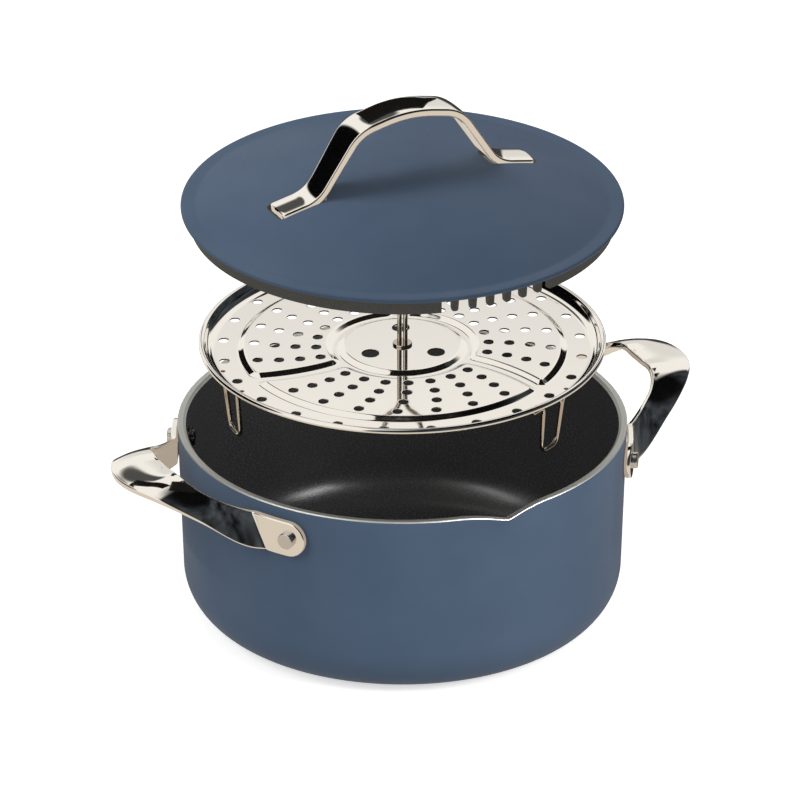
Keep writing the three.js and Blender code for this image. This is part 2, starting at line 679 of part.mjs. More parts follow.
function lidSet() {
  const set = new THREE.Group();
  set.position.z = POT_HEIGHT + LID_SHOWN_ABOVE;
  set.add(piece('lid_shell', lidShell(), BLUE_COATING));
  set.add(piece('lid_gasket', lidGasket(), SILICONE));
  set.add(piece('lid_handle', lidHandle(), POLISHED_STEEL));
  for (const [place, side] of [['right', 1], ['left', -1]]) {
    const frame = footFrame(side);
    set.add(piece(`lid_screw_${place}`, lidScrew().applyMatrix4(frame), RIVET_STEEL));
    set.add(piece(`lid_washer_${place}`, lidWasher().applyMatrix4(frame), RIVET_STEEL));
  }
  return set;
}

// Rack, in its own frame: height 0 is the top of its flat, and angles start from -Y towards +X

const around = (radius, angle) => new THREE.Vector2(
  radius * Math.sin(radians(angle)),
  -radius * Math.cos(radians(angle)),
);
const RACK_RADIUS = innerRadius(BASE_THICKNESS + RACK_STANDOFF) - RACK_CLEARANCE;
const FLAT_RADIUS = RACK_RADIUS - RACK_LIP_WIDTH;
const PANEL_INNER = CENTRE_PANEL_RADIUS + PANEL_CHANNEL / 2;
const PANEL_OUTER = FLAT_RADIUS - OUTER_FLAT;
const FIRST_RING = PANEL_INNER + PANEL_BEVEL + HOLE_MARGIN;
const LAST_RING = PANEL_OUTER - PANEL_BEVEL - HOLE_MARGIN;

// How far the columns of holes have swept round at a radius, in degrees
function sweep(radius) {
  const share = Math.max((radius - FIRST_RING) / (LAST_RING - FIRST_RING), 0);
  return COLUMN_SWEEP * share ** COLUMN_CURL;
}

// The outline of one fan panel, drawn in by an inset from the foot of its bevel
function fanOutline(spoke, inset) {
  const [inner, outer] = [PANEL_INNER + inset, PANEL_OUTER - inset];
  const channel = PANEL_CHANNEL / 2 + inset;
  const edge = (radius, side) => {
    const start = SPOKE_ANGLE + (spoke + (side > 0 ? 0 : 1)) * 360 / SPOKE_COUNT;
    return start - sweep(radius) + side * THREE.MathUtils.radToDeg(channel / radius);
  };
  const points = [];
  for (const [radius, from, to] of [[outer, 1, -1], [inner, -1, 1]]) {
    const [start, end] = [edge(radius, from), edge(radius, to)];
    for (let i = 0; i <= FAN_ARC_STEPS; i += 1) {
      points.push(around(radius, start + (end - start) * i / FAN_ARC_STEPS));
    }
    const next = radius === inner ? outer : inner;
    for (let i = 1; i < FAN_SIDE_STEPS; i += 1) {
      const between = radius + (next - radius) * i / FAN_SIDE_STEPS;
      points.push(around(between, edge(between, to)));
    }
  }
  return points;
}

// A fan panel as a block with a bevelled top, from a bottom height up to its raised face
function fanBlock(spoke, bottom, shift) {
  const foot = fanOutline(spoke, 0);
  const top = fanOutline(spoke, PANEL_BEVEL);
  const level = (outline, z) => outline.map((point) => new THREE.Vector3(point.x, point.y, z));
  const caps = THREE.ShapeUtils.triangulateShape(foot, []);
  return skin([level(foot, bottom), level(foot, shift), level(top, PANEL_HEIGHT + shift)], caps);
}

function rackHoles() {
  const holes = [];
  const add = (diameter, radius, angle) => {
    const place = around(radius, angle);
    const hole = peg(diameter / 2, -RACK_LIP_HEIGHT, RACK_LIP_HEIGHT, HOLE_SIDES);
    holes.push(hole.translate(place.x, place.y, 0));
  };
  const pitch = 360 / COLUMN_COUNT;
  for (let column = 0; column < COLUMN_COUNT; column += 1) {
    add(HOLE, FLAT_RADIUS - OUTER_HOLE_INSET, OUTER_HOLE_ANGLE + column * pitch);
    if (column % (COLUMN_COUNT / SPOKE_COUNT) === 0) continue;
    for (let row = 0; row < HOLE_RINGS; row += 1) {
      const radius = THREE.MathUtils.lerp(FIRST_RING, LAST_RING, row / (HOLE_RINGS - 1));
      add(HOLE, radius, SPOKE_ANGLE + column * pitch - sweep(radius));
    }
  }
  for (let spoke = 0; spoke < SPOKE_COUNT; spoke += 1) {
    add(CENTRE_HOLE, CENTRE_HOLE_RADIUS, CENTRE_HOLE_ANGLE + spoke * 360 / SPOKE_COUNT);
  }
  return mergeGeometries(holes);
}

// The slot that both wires of the lifting loop pass through
function loopSlot() {
  const radius = WIRE / 2 + FIT;
  const reach = LOOP_SPACING / 2;
  const shape = new THREE.Shape();
  shape.absarc(reach, 0, radius, -Math.PI / 2, Math.PI / 2);
  shape.absarc(-reach, 0, radius, Math.PI / 2, 1.5 * Math.PI);
  const settings = { depth: 2 * RACK_LIP_HEIGHT, bevelEnabled: false, curveSegments: SLOT_END_STEPS };
  return new THREE.ExtrudeGeometry(shape, settings).translate(0, 0, -RACK_LIP_HEIGHT);
}

function rackPlate() {
  const bead = RACK_BEAD / 2;
  const beadRadius = RACK_RADIUS - bead;
  const beadHeight = RACK_LIP_HEIGHT - bead;
  const centreTop = CENTRE_PANEL_RADIUS - PANEL_BEVEL;
  const wallTop = beadRadius - bead;
  const profile = [
    [0, PANEL_HEIGHT],
    [centreTop, PANEL_HEIGHT],
    [CENTRE_PANEL_RADIUS, 0],
    [FLAT_RADIUS, 0],
    [wallTop, beadHeight],
    ...arc(beadRadius, beadHeight, bead, 135, -90, BEAD_STEPS),
    [wallTop + RACK_SHEET, beadHeight - bead],
    [FLAT_RADIUS + RACK_SHEET, -RACK_SHEET],
    [CENTRE_PANEL_RADIUS, -RACK_SHEET],
    [centreTop, PANEL_HEIGHT - RACK_SHEET],
    [0, PANEL_HEIGHT - RACK_SHEET],
  ];
  let body = solid(turned(profile, RACK_SEGMENTS));
  for (let spoke = 0; spoke < SPOKE_COUNT; spoke += 1) {
    body = join(body, fanBlock(spoke, -RACK_SHEET / 2, 0));
    body = cut(body, fanBlock(spoke, -RACK_LIP_HEIGHT, -RACK_SHEET));
  }
  return geometryOf(cut(body, rackHoles(), loopSlot()));
}

const LEG_RADIUS = FLAT_RADIUS - LEG_INSET;
const LEG_BOTTOM = -RACK_STANDOFF;

// A leg of wire, bent to a narrowing U, with its two ends turned out under the flat for welding
function rackLeg(index) {
  const weldHeight = -RACK_SHEET - FIT - WIRE / 2;
  const low = LEG_BOTTOM + WIRE / 2;
  const at = (across, height) => {
    const lean = LEG_LEAN * (weldHeight - height) / (weldHeight - low);
    return new THREE.Vector3(across, lean - LEG_RADIUS, height);
  };
  const [weldEnd, top, foot] = [LEG_WELD_SPAN / 2, LEG_TOP_SPAN / 2, LEG_FOOT_SPAN / 2];
  const path = bentPath(
    [
      at(-weldEnd, weldHeight), at(-top, weldHeight), at(-foot, low),
      at(foot, low), at(top, weldHeight), at(weldEnd, weldHeight),
    ],
    [LEG_BEND, LEG_BEND, LEG_BEND, LEG_BEND],
  );
  return wire(path, LEG_STEPS).rotateZ(radians(LEG_ANGLE + index * 360 / SPOKE_COUNT));
}

const RACK_SEAT = floorHeight(LEG_RADIUS - LEG_LEAN + WIRE / 2) + FIT + RACK_STANDOFF;
const LOOP_HEIGHT = POT_HEIGHT + domeHeight(0) - LID_SHELL - LOOP_HEADROOM - RACK_SEAT;

// Wire bent to a finger loop on two close uprights, which pass through the centre of the plate
function liftingLoop() {
  const [near, wide] = [LOOP_SPACING / 2, (LOOP_WIDTH - WIRE) / 2];
  const bottom = PANEL_HEIGHT - RACK_SHEET - LOOP_TAIL;
  const top = LOOP_HEIGHT - WIRE / 2;
  const waist = LOOP_HEIGHT - LOOP_OPENING;
  const at = (x, z) => new THREE.Vector3(x, 0, z);
  const path = bentPath(
    [
      at(-near, bottom), at(-near, waist), at(-wide, waist + LOOP_WIDTH / 4), at(-wide, top),
      at(wide, top), at(wide, waist + LOOP_WIDTH / 4), at(near, waist), at(near, bottom),
    ],
    [LOOP_BEND, LOOP_BEND, LOOP_BEND, LOOP_BEND, LOOP_BEND, LOOP_BEND],
  );
  return wire(path, LOOP_STEPS);
}

const loopWasher = () => geometryOf(cut(
  solid(peg(LOOP_WASHER / 2, PANEL_HEIGHT + FIT, PANEL_HEIGHT + FIT + LOOP_WASHER_HEIGHT, SMALL_SEGMENTS)),
  loopSlot(),
));

function rackSet() {
  const set = new THREE.Group();
  set.position.z = POT_HEIGHT + RACK_SHOWN_ABOVE;
  set.rotation.z = radians(RACK_TURN);
  set.add(piece('rack_plate', rackPlate(), POLISHED_STEEL));
  for (let i = 0; i < SPOKE_COUNT; i += 1) {
    set.add(piece(`rack_leg_${i + 1}`, rackLeg(i), POLISHED_STEEL));
  }
  set.add(piece('lifting_loop', liftingLoop(), POLISHED_STEEL));
  set.add(piece('loop_washer', loopWasher(), POLISHED_STEEL));
  return set;
}

const steamerPot = new THREE.Group();
steamerPot.add(piece('pot_body', potBody(), BLUE_COATING));
steamerPot.add(sideHandleSet('right', 0));
steamerPot.add(sideHandleSet('left', 180));
steamerPot.add(rackSet());
steamerPot.add(lidSet());

export default steamerPot;
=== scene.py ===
"""The looks of a steamer pot shown taken apart: the pot, its steam rack and its straining lid.

Shapes are worked out in millimetres as whole arrays and put into meshes in metres, in the frame of the
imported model: origin at the centre of the pot's base, Z up, side handles along X, pouring lip to -Y.
"""

import math

import bmesh
import bpy
import numpy as np
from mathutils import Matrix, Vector
from mathutils.geometry import delaunay_2d_cdt


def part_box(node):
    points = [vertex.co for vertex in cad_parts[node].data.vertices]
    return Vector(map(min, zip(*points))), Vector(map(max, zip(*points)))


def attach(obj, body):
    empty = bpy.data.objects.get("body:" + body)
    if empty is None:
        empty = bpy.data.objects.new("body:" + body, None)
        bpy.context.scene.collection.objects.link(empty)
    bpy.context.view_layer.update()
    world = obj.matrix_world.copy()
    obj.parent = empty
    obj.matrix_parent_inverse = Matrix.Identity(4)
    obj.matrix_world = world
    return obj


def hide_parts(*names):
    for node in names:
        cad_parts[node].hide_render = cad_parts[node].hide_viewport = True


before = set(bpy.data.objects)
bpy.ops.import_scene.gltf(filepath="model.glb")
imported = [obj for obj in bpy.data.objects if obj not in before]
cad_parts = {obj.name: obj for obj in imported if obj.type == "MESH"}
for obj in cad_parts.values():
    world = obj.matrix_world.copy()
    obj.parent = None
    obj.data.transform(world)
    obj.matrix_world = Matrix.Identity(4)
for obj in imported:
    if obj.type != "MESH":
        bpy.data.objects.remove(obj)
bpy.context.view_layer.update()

# Lengths are in millimetres and angles in degrees, unless a comment says otherwise
MM = 0.001
FIT = 0.3
TINY = 1e-6

# Pot
POT_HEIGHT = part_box("pot_body")[1].z / MM
RIM_RADIUS = 125
WALL = 4.6
BASE_THICKNESS = 5
CORNER_RADIUS = 28
WALL_DRAFT = 3
RIM_EDGE = 0.8
RIM_BEVEL = 1.4
LIP_HALF_ANGLE = 12.5
LIP_REACH = 3.6
LIP_DIP = 3.6
LIP_FALL = 26
LIP_ROUND = 0.06

# Side handles
SIDE_FOOT_ANGLE = 33.5
SIDE_FOOT_DROP = 17.4
SIDE_FOOT_WIDTH = 20.6
SIDE_FOLD_AT = 29
SIDE_FOLD_PLAN = 32
SIDE_FOLD_TILT = 15
SIDE_FOLD_ROUND = 0.6
SIDE_TIP_REACH = 50.5
SIDE_TIP_RISE = 3.4
SIDE_TIP_WIDTH = 28.6
SIDE_TIP_TILT = 6
SIDE_TIP_CROWN = 1.6
SIDE_STRAP = 3.6
SIDE_EDGE = 0.8
SIDE_WAIST = 8
SIDE_TWIST_END = 0.92
SIDE_RISE_END = 0.8

# Handle rivets
RIVET_SHANK = 6
RIVET_SINK = 0.15
RIVET_HEAD = 9.4
RIVET_HEAD_HEIGHT = 2.8
RIVET_HEAD_EDGE = 0.7
RIVET_CROWN = 0.12
RIVET_CROWN_FOOT = 0.02
RIVET_INNER_HEAD = 9.6
RIVET_INNER_HEIGHT = 2
RIVET_INNER_EDGE = 1.2
RIVET_WASHER = 13
RIVET_WASHER_HEIGHT = 1.4
RIVET_WASHER_EDGE = 0.3

# Lid
LID_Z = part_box("lid_shell")[0].z / MM
LID_SETBACK = 2.6
LID_EDGE = 2.6
LID_BAND = 8
LID_BAND_ROUND = 1.2
LID_DOME = 20.5
LID_SHELL = 3.2
GASKET_CLEARANCE = 3
GASKET_FLANGE = 9.5
GASKET_FLANGE_HEIGHT = 1.6
GASKET_SKIRT = 4
GASKET_DEPTH = 8.5
GASKET_EDGE = 0.6
STRAINER_ANGLE = 33
TOOTH_COUNT = 6
TOOTH_PITCH = 5.1
TOOTH_WIDTH = 4.8
TOOTH_TIP_WIDTH = 3.7
TOOTH_DEPTH = 4.4
TOOTH_ROUND = 1.3
TOOTH_SQUARE = 0.5

# Lid handle
GRIP_FOOT_RADIUS = 66.5
GRIP_FOOT_LENGTH = 23
GRIP_FOOT_WIDTH = 17.5
GRIP_FOOT_CORNER = 2.4
GRIP_WIDTH = 20.5
GRIP_STRAP = 4.4
GRIP_EDGE = 1.0
GRIP_END_THINNING = 0.9
GRIP_CROSS_CROWN = 0.5
GRIP_TOP = 62
GRIP_CROWN = 5.2
GRIP_CROWN_BEND = 1e6
GRIP_SHOULDER = 31
GRIP_FOOT_BEND = 22
GRIP_SHOULDER_BEND = 22
POCKET_DEPTH = 3.6
POCKET_END_GAP = 2.4
POCKET_SIDE_GAP = 0.8
POCKET_HEEL = 5
POCKET_CORNER = 3
BOSS_WALL = 3
BOSS_FLOOR = 3
SCREW_HEAD = 9
SCREW_HEAD_HEIGHT = 3
SCREW_HEAD_EDGE = 1.4
SCREW_RECESS = 2
SCREW_RECESS_DEPTH = 1.5
SCREW_RECESS_EDGE = 0.15
SCREW_RECESS_STEP = 0.12
SCREW_LOBES = 6
SCREW_LOBE = 0.16
SCREW_WASHER = 12
SCREW_WASHER_BORE = 5.2
SCREW_WASHER_HEIGHT = 1.2
SCREW_WASHER_EDGE = 0.25

# Steam rack
RACK_CLEARANCE = 4.8
RACK_STANDOFF = 33
RACK_SHEET = 0.9
RACK_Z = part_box("rack_plate")[0].z / MM + RACK_SHEET
RACK_LIP_WIDTH = 7.8
RACK_LIP_HEIGHT = 6.1
RACK_LIP_FILLET = 6
RACK_LIP_LEAN = 68
RACK_BEAD = 3.4
RACK_CURL_END = -100
RACK_LIP_UNDER = 0.54
RACK_TURN = -27
PANEL_HEIGHT = 1.9
PANEL_BEVEL = 4.6
PANEL_FILLET = 0.22
PANEL_CHANNEL = 3.4
PANEL_CORNER = 5.6
SHEET_BOW = 0.8
SHEET_EDGE = 1.6
CENTRE_PANEL_RADIUS = 36.5
OUTER_FLAT = 13.4
COLUMN_COUNT = 24
SPOKE_COUNT = 3
SPOKE_PITCH = 360 / SPOKE_COUNT
SPOKE_ANGLE = 63.8
COLUMN_SWEEP = 5.7
COLUMN_CURL = 1.3
HOLE = 5.8
HOLE_RINGS = 4
HOLE_MARGIN = 5
HOLE_EDGE = 0.15
HOLE_EDGE_DROP = 0.075
OUTER_HOLE_INSET = 5.4
OUTER_HOLE_ANGLE = -5.9
CENTRE_HOLE = 10
CENTRE_HOLE_RADIUS = 21
CENTRE_HOLE_ANGLE = 62.5
WIRE = 2.6
WIRE_END = 0.65
LEG_ANGLE = 53.5
LEG_INSET = 2
LEG_WELD_SPAN = 36
LEG_TOP_SPAN = 18
LEG_FOOT_SPAN = 14
LEG_LEAN = 3
LEG_BEND = 5.5
LOOP_HEADROOM = 24
LOOP_SPACING = 3.2
LOOP_WIDTH = 24
LOOP_OPENING = 26
LOOP_SHOULDER = 6
LOOP_BEND = 10
LOOP_TAIL = 2
LOOP_WASHER = 11
LOOP_WASHER_BORE = 0.4
LOOP_WASHER_HEIGHT = 1.3
LOOP_WASHER_EDGE = 0.35
WELD_MARK = 3
WELD_MARK_SINK = 0.02
WELD_MARK_HEIGHT = 0.35
BEND_SHARE = 0.48

# How far a straight run starts past the arc before it
WALL_START = 1
RIM_START = 0.1
CROWN_START = 0.2
BAND_START = 0.2
CURL_START = 0.5

# Fineness of the surfaces: sides and segments of round shapes, steps along a shape, distances between rings
POT_SEGMENTS = 288
LID_SEGMENTS = 288
RACK_SEGMENTS = 240
PANEL_SEGMENTS = 160
SCREW_SIDES = 72
SMALL_SEGMENTS = 40
TOOTH_SIDES = 24
HOLE_SIDES = 22
WELD_SIDES = 18
WIRE_SIDES = 16
WALL_STEPS = 40
BEND_STEPS = 40
CORNER_STEPS = 24
CURL_STEPS = 26
FILLET_STEPS = 16
LID_EDGE_STEPS = 12
LEG_BEND_STEPS = 12
LOOP_BEND_STEPS = 14
FOOT_END_STEPS = 14
PANEL_ROWS = 13
PANEL_CORNER_STEPS = 10
PANEL_LONG_STEPS = 90
PANEL_SHORT_STEPS = 26
SMALL_CORNER_STEPS = 8
TOOTH_ROWS = 6
SMALL_STEPS = 6
ROUND_EDGE_STEPS = 5
SIDE_FLAT_STEPS = 22
SIDE_ROWS = 170
GRIP_FLAT_STEPS = 14
GRIP_SPACING = 0.7
WIRE_SPACING = 0.572
SHORT_STEPS = 4
FEW_STEPS = 3
SUPPORT = 0.4
# Points nearer than this are merged: of a mesh, in metres, and of the rack's flat
WELD_DISTANCE = 2e-6
FLAT_DISTANCE = 1e-7
# Angles from which an edge stays sharp
CREASE = 38
LID_CREASE = 30
GASKET_CREASE = 50

# Photograph: viewing angles, and the frame's width and centre at the rim; distance and reach are in metres
CAMERA_AZIMUTH = -27
CAMERA_ELEVATION = 26.6
CAMERA_DISTANCE = 8
CAMERA_SENSOR = 36
CAMERA_REACH = 24
FRAME_WIDTH = 444.4
FRAME_RIGHT = -1.33
FRAME_UP = 11.11

# Studio: floor and lamp distances in metres, strengths of the light that is the same all round
FLOOR_SIZE = 12
FLOOR_Z = -0.0003
FLOOR_GLOW = 0.6
ROOM_LIGHT = 0.55
LAMP_DISTANCE = 1.5
# Soft lamps: bearing and rise, side in metres, watts, and the pieces that they light
LAMPS = {
    "right_lamp": (126, 30, 0.55, 12, ("pot", "floor")),
    "left_lamp": (-122, 36, 0.8, 8.5, ("pot", "floor")),
    "back_lamp": (-70, 60, 0.6, 11, ("lid_dome", "lid_silicone_ring")),
    "glint_lamp": (131, 9, 0.4, 60, ("pot",)),
}
# Dark panels round the set that the polished steel mirrors:
# bearing and rise of the middle, half width and width of the soft edge, and darkness
DARK_CLOTHS = ((118, 0, 80, 5, 1.0),)
DARK_PANELS = ((88, 62, 15, 16, 0.98), (-75, 18, 28, 5, 1.0), (0, 12, 9.5, 8, 0.2), (-14, 39, 6, 4, 0.92))
LOW_PANELS = ((5, -16, 17, 7, 0.95),)
CLOTH_FOLDS = 4.0
# Sines of the rise between which the white room passes into the ground
GROUND_EDGE = {"From Min": -0.12, "From Max": -0.3}
# Black cards that only reflections show. Corners: to the picture's right, behind, and height
BLACK_CARDS = {
    "crown_card": ((-58, 100, 350), (28, 100, 311), (28, 100, 362), (-58, 100, 422)),
    "arc_card": ((-50, 400, 150), (50, 400, 150), (50, 400, 290), (-50, 400, 290)),
    "right_arc_card": ((134, 130, 209), (154, 126, 196), (165, 49, 240), (146, 54, 253)),
    "left_arc_card": ((-117, 67, 182), (-126, 65, 177), (-126, 18, 198), (-118, 20, 203)),
    "tip_card": ((-170, -11, 190), (-186, -27, 190), (-131, -77, 190), (-119, -65, 190)),
    "rack_card": (
        (-75, -45, 600), (90, -45, 600), (280, 120, 600), (280, 330, 600),
        (200, 330, 600), (90, 215, 600), (-75, 215, 600),
    ),
}
WALL_CARD_BOTTOM = 50
WALL_CARD_DROP = 1
WALL_CARD_ANGLE = 46
WALL_CARD_GAP = 0.2
WALL_CARD_COLUMNS = 40


# Surfaces

def points_of(*axes):
    """Coordinates, each an array or a number, as one array of points."""
    return np.stack(np.broadcast_arrays(*axes), axis=-1)


def quads(rows, columns, loop=False):
    """Faces of a grid of points numbered row by row; loop joins the last column to the first."""
    across = columns if loop else columns - 1
    row, column = np.meshgrid(np.arange(rows - 1), np.arange(across), indexing="ij")
    after = (column + 1) % columns
    this, following = row * columns, (row + 1) * columns
    return points_of(this + column, this + after, following + after, following + column).reshape(-1, 4)


def surface(grid, loop=True, finish=0):
    """A grid of points as one surface: its points, its faces and the number of each face's finish."""
    rows, columns = grid.shape[:2]
    faces = quads(rows, columns, loop)
    if np.ndim(finish):
        finish = np.repeat(finish, len(faces) // (rows - 1))
    return grid.reshape(-1, 3), faces, np.broadcast_to(finish, len(faces))


def cap(start, count, flipped=False):
    """One face over a ring of points numbered from a start, as a row of one."""
    order = np.arange(start, start + count)[None]
    return order[:, ::-1] if flipped else order


def line(start, end, steps=1):
    """Points of a straight run, without its end."""
    share = np.linspace(0, 1, steps, endpoint=False)[:, None]
    return np.asarray(start, float) * (1 - share) + np.asarray(end, float) * share


def arc(centre, radius, start, end, steps):
    """Points of a circle from one angle to another: centre + radius (cos, sin)."""
    angle = np.radians(np.linspace(start, end, steps + 1))
    return np.asarray(centre, float) + radius * points_of(np.cos(angle), np.sin(angle))


def round_angles(count):
    """Angles all round a circle, in radians."""
    return np.linspace(0, 2 * np.pi, count, endpoint=False)


def turned(profile, segments):
    """A profile of radius and height carried round Z from -Y: (r sin t, -r cos t, z)."""
    radius, height = np.asarray(profile, float).T[..., None]
    angle = round_angles(segments)
    return points_of(radius * np.sin(angle), -radius * np.cos(angle), height)


def smooth(share):
    """The ramp 3 x^2 - 2 x^3, held at 0 and 1 outside its ends."""
    x = np.clip(share, 0, 1)
    return x * x * (3 - 2 * x)


def mix(start, end, share):
    """A value part of the way from one to another."""
    return start + (end - start) * share


def spun(points, degrees):
    """Points turned about Z."""
    sine, cosine = math.sin(math.radians(degrees)), math.cos(math.radians(degrees))
    return points @ np.array([[cosine, sine, 0], [-sine, cosine, 0], [0, 0, 1]])


def unit(vectors):
    """Vectors at length 1."""
    return vectors / np.linalg.norm(vectors, axis=-1, keepdims=True)


def bent_path(corners, bends, steps):
    """Straight runs whose corners are quadratic curves, tangent to the runs at the bend's trim:
    trim = bend tan(turn / 2), but no more than a share of the shorter run."""
    corners = np.asarray(corners, float)
    points = [corners[:1]]
    share = np.linspace(0, 1, steps + 1)[:, None]
    for before, corner, after, bend in zip(corners, corners[1:], corners[2:], bends):
        back, ahead = before - corner, after - corner
        lengths = np.linalg.norm(back), np.linalg.norm(ahead)
        back, ahead = back / lengths[0], ahead / lengths[1]
        turn = math.pi - math.acos(np.clip(back @ ahead, -1, 1))
        trim = min(bend * math.tan(turn / 2), min(lengths) * BEND_SHARE)
        enter, leave = corner + back * trim, corner + ahead * trim
        points.append((1 - share) ** 2 * enter + 2 * share * (1 - share) * corner + share ** 2 * leave)
    points.append(corners[-1:])
    return np.concatenate(points)


def evened(path, spacing):
    """A path at even distances: its points, its unit tangents and the distances."""
    steps = np.linalg.norm(np.diff(path, axis=0), axis=1)
    kept = np.concatenate([[True], steps > TINY])
    distance = np.concatenate([[0], np.cumsum(steps)])[kept]
    places = np.linspace(0, distance[-1], max(int(distance[-1] / spacing), 2) + 1)
    points = np.stack([np.interp(places, distance, axis) for axis in path[kept].T], axis=-1)
    return points, unit(np.gradient(points, places, axis=0)), places


def wire(path, flat_normal):
    """Round wire along a path in one plane: at each point a circle across the tangent,
    c + r (cos t n + sin t (tangent x n)), drawn in to a low dome at both ends."""
    points, tangents, _ = evened(path, WIRE_SPACING)
    dome = np.linspace(0, np.pi / 2, SMALL_STEPS)[:-1]
    rise = WIRE_END * np.cos(dome)[:, None]
    start, end = tangents[:1], tangents[-1:]
    middle = np.ones(len(points))
    points = np.concatenate([points[:1] - start * rise, points, points[-1:] + end * rise[::-1]])
    tangents = np.concatenate([start.repeat(len(dome), 0), tangents, end.repeat(len(dome), 0)])
    radii = np.concatenate([np.sin(dome), middle, np.sin(dome[::-1])]) * WIRE / 2
    angle = round_angles(WIRE_SIDES)[:, None]
    normal = np.broadcast_to(unit(np.asarray(flat_normal, float)), points.shape)
    side = np.cross(tangents, normal)
    ring = np.cos(angle) * normal[:, None] + np.sin(angle) * side[:, None]
    return points[:, None] + ring * radii[:, None, None]


def strap_section(flat_steps):
    """A flat section with round edges, as shares: which corner centre (side, depth) each point
    belongs to and where it lies on that corner's unit circle (x, y)."""
    quarter = np.linspace(0, np.pi / 2, ROUND_EDGE_STEPS + 1)
    parts = []
    for turn, (side, depth) in enumerate(((1, 1), (-1, 1), (-1, -1), (1, -1))):
        angle = quarter + turn * np.pi / 2
        parts.append(points_of(side, depth, np.cos(angle), np.sin(angle)))
        if side == depth:
            share = np.linspace(side, -side, flat_steps + 1)[1:-1]
            parts.append(points_of(share, depth, 0, depth))
    return np.concatenate(parts).T


# Pot

def wall_radius(z):
    """Radius of the outside of the pot's wall at a height, which leans out towards the rim."""
    return RIM_RADIUS - WALL_DRAFT * (POT_HEIGHT - z) / (POT_HEIGHT - CORNER_RADIUS)


def inner_radius(z):
    """Radius of the inside of the pot's wall at a height."""
    return wall_radius(z) - WALL


INNER_CORNER = CORNER_RADIUS - WALL
INNER_CORNER_TOP = BASE_THICKNESS + INNER_CORNER
FLOOR_RADIUS = inner_radius(INNER_CORNER_TOP) - INNER_CORNER
SIDE_FOOT_HEIGHT = POT_HEIGHT - SIDE_FOOT_DROP
SIDE_FOOT_INNER = wall_radius(SIDE_FOOT_HEIGHT + SIDE_FOOT_WIDTH / 2) + FIT
SIDE_FOOT_MIDDLE = SIDE_FOOT_INNER + SIDE_STRAP / 2
RIVET_WASHER_SEAT = math.sqrt(
    inner_radius(SIDE_FOOT_HEIGHT - RIVET_WASHER / 2) ** 2 - (RIVET_WASHER / 2) ** 2
) - FIT / 2


def drawn_lip(points):
    """The pouring lip: towards -Y the wall moves out and the rim down by
    reach (1 - |angle| / half angle)^2 (1 - depth / fall)^2."""
    x, y, z = np.moveaxis(points, -1, 0)
    radius = np.hypot(x, y)
    off = np.degrees(np.arctan2(x, -y)) / LIP_HALF_ANGLE
    share = np.maximum(1 + LIP_ROUND - np.sqrt(off ** 2 + LIP_ROUND ** 2), 0) ** 2
    pull = share * np.clip(1 - (POT_HEIGHT - z) / LIP_FALL, 0, 1) ** 2
    stretch = 1 + np.where(radius > 1, LIP_REACH * pull / np.maximum(radius, 1), 0)
    return points_of(x * stretch, y * stretch, z - LIP_DIP * pull)


def pot_surface():
    """The pot's wall as a turned profile: base, rounded corner, wall, rim, inside wall and floor."""
    corner = wall_radius(CORNER_RADIUS) - CORNER_RADIUS
    foot, edge, bevel = CORNER_RADIUS + WALL_START, POT_HEIGHT - RIM_EDGE, POT_HEIGHT - RIM_BEVEL
    inner_edge = (inner_radius(POT_HEIGHT) + RIM_BEVEL, POT_HEIGHT)
    inner_top = (inner_radius(bevel), bevel)
    outside = np.concatenate([
        line((0, 0), (corner, 0), SMALL_STEPS),
        arc((corner, CORNER_RADIUS), CORNER_RADIUS, -90, 0, CORNER_STEPS),
        line((wall_radius(foot), foot), (wall_radius(edge), edge), WALL_STEPS),
    ])
    rim = np.concatenate([
        arc((RIM_RADIUS - RIM_EDGE, edge), RIM_EDGE, 0, 90, ROUND_EDGE_STEPS),
        line((RIM_RADIUS - RIM_EDGE - RIM_START, POT_HEIGHT), inner_edge, FEW_STEPS),
        line(inner_edge, inner_top, FEW_STEPS),
    ])
    inside = np.concatenate([
        line(inner_top, (inner_radius(INNER_CORNER_TOP), INNER_CORNER_TOP), WALL_STEPS),
        arc((FLOOR_RADIUS, INNER_CORNER_TOP), INNER_CORNER, 0, -90, CORNER_STEPS),
        line((FLOOR_RADIUS - WALL_START, BASE_THICKNESS), (0, BASE_THICKNESS), SMALL_CORNER_STEPS),
        [[0, BASE_THICKNESS]],
    ])
    profile = np.concatenate([outside, rim, inside])
    finish = np.repeat([0, 1, 2], [len(outside), len(rim), len(inside)])[:-1]
    return surface(drawn_lip(turned(profile, POT_SEGMENTS)), finish=finish)


# Side handles and rivets

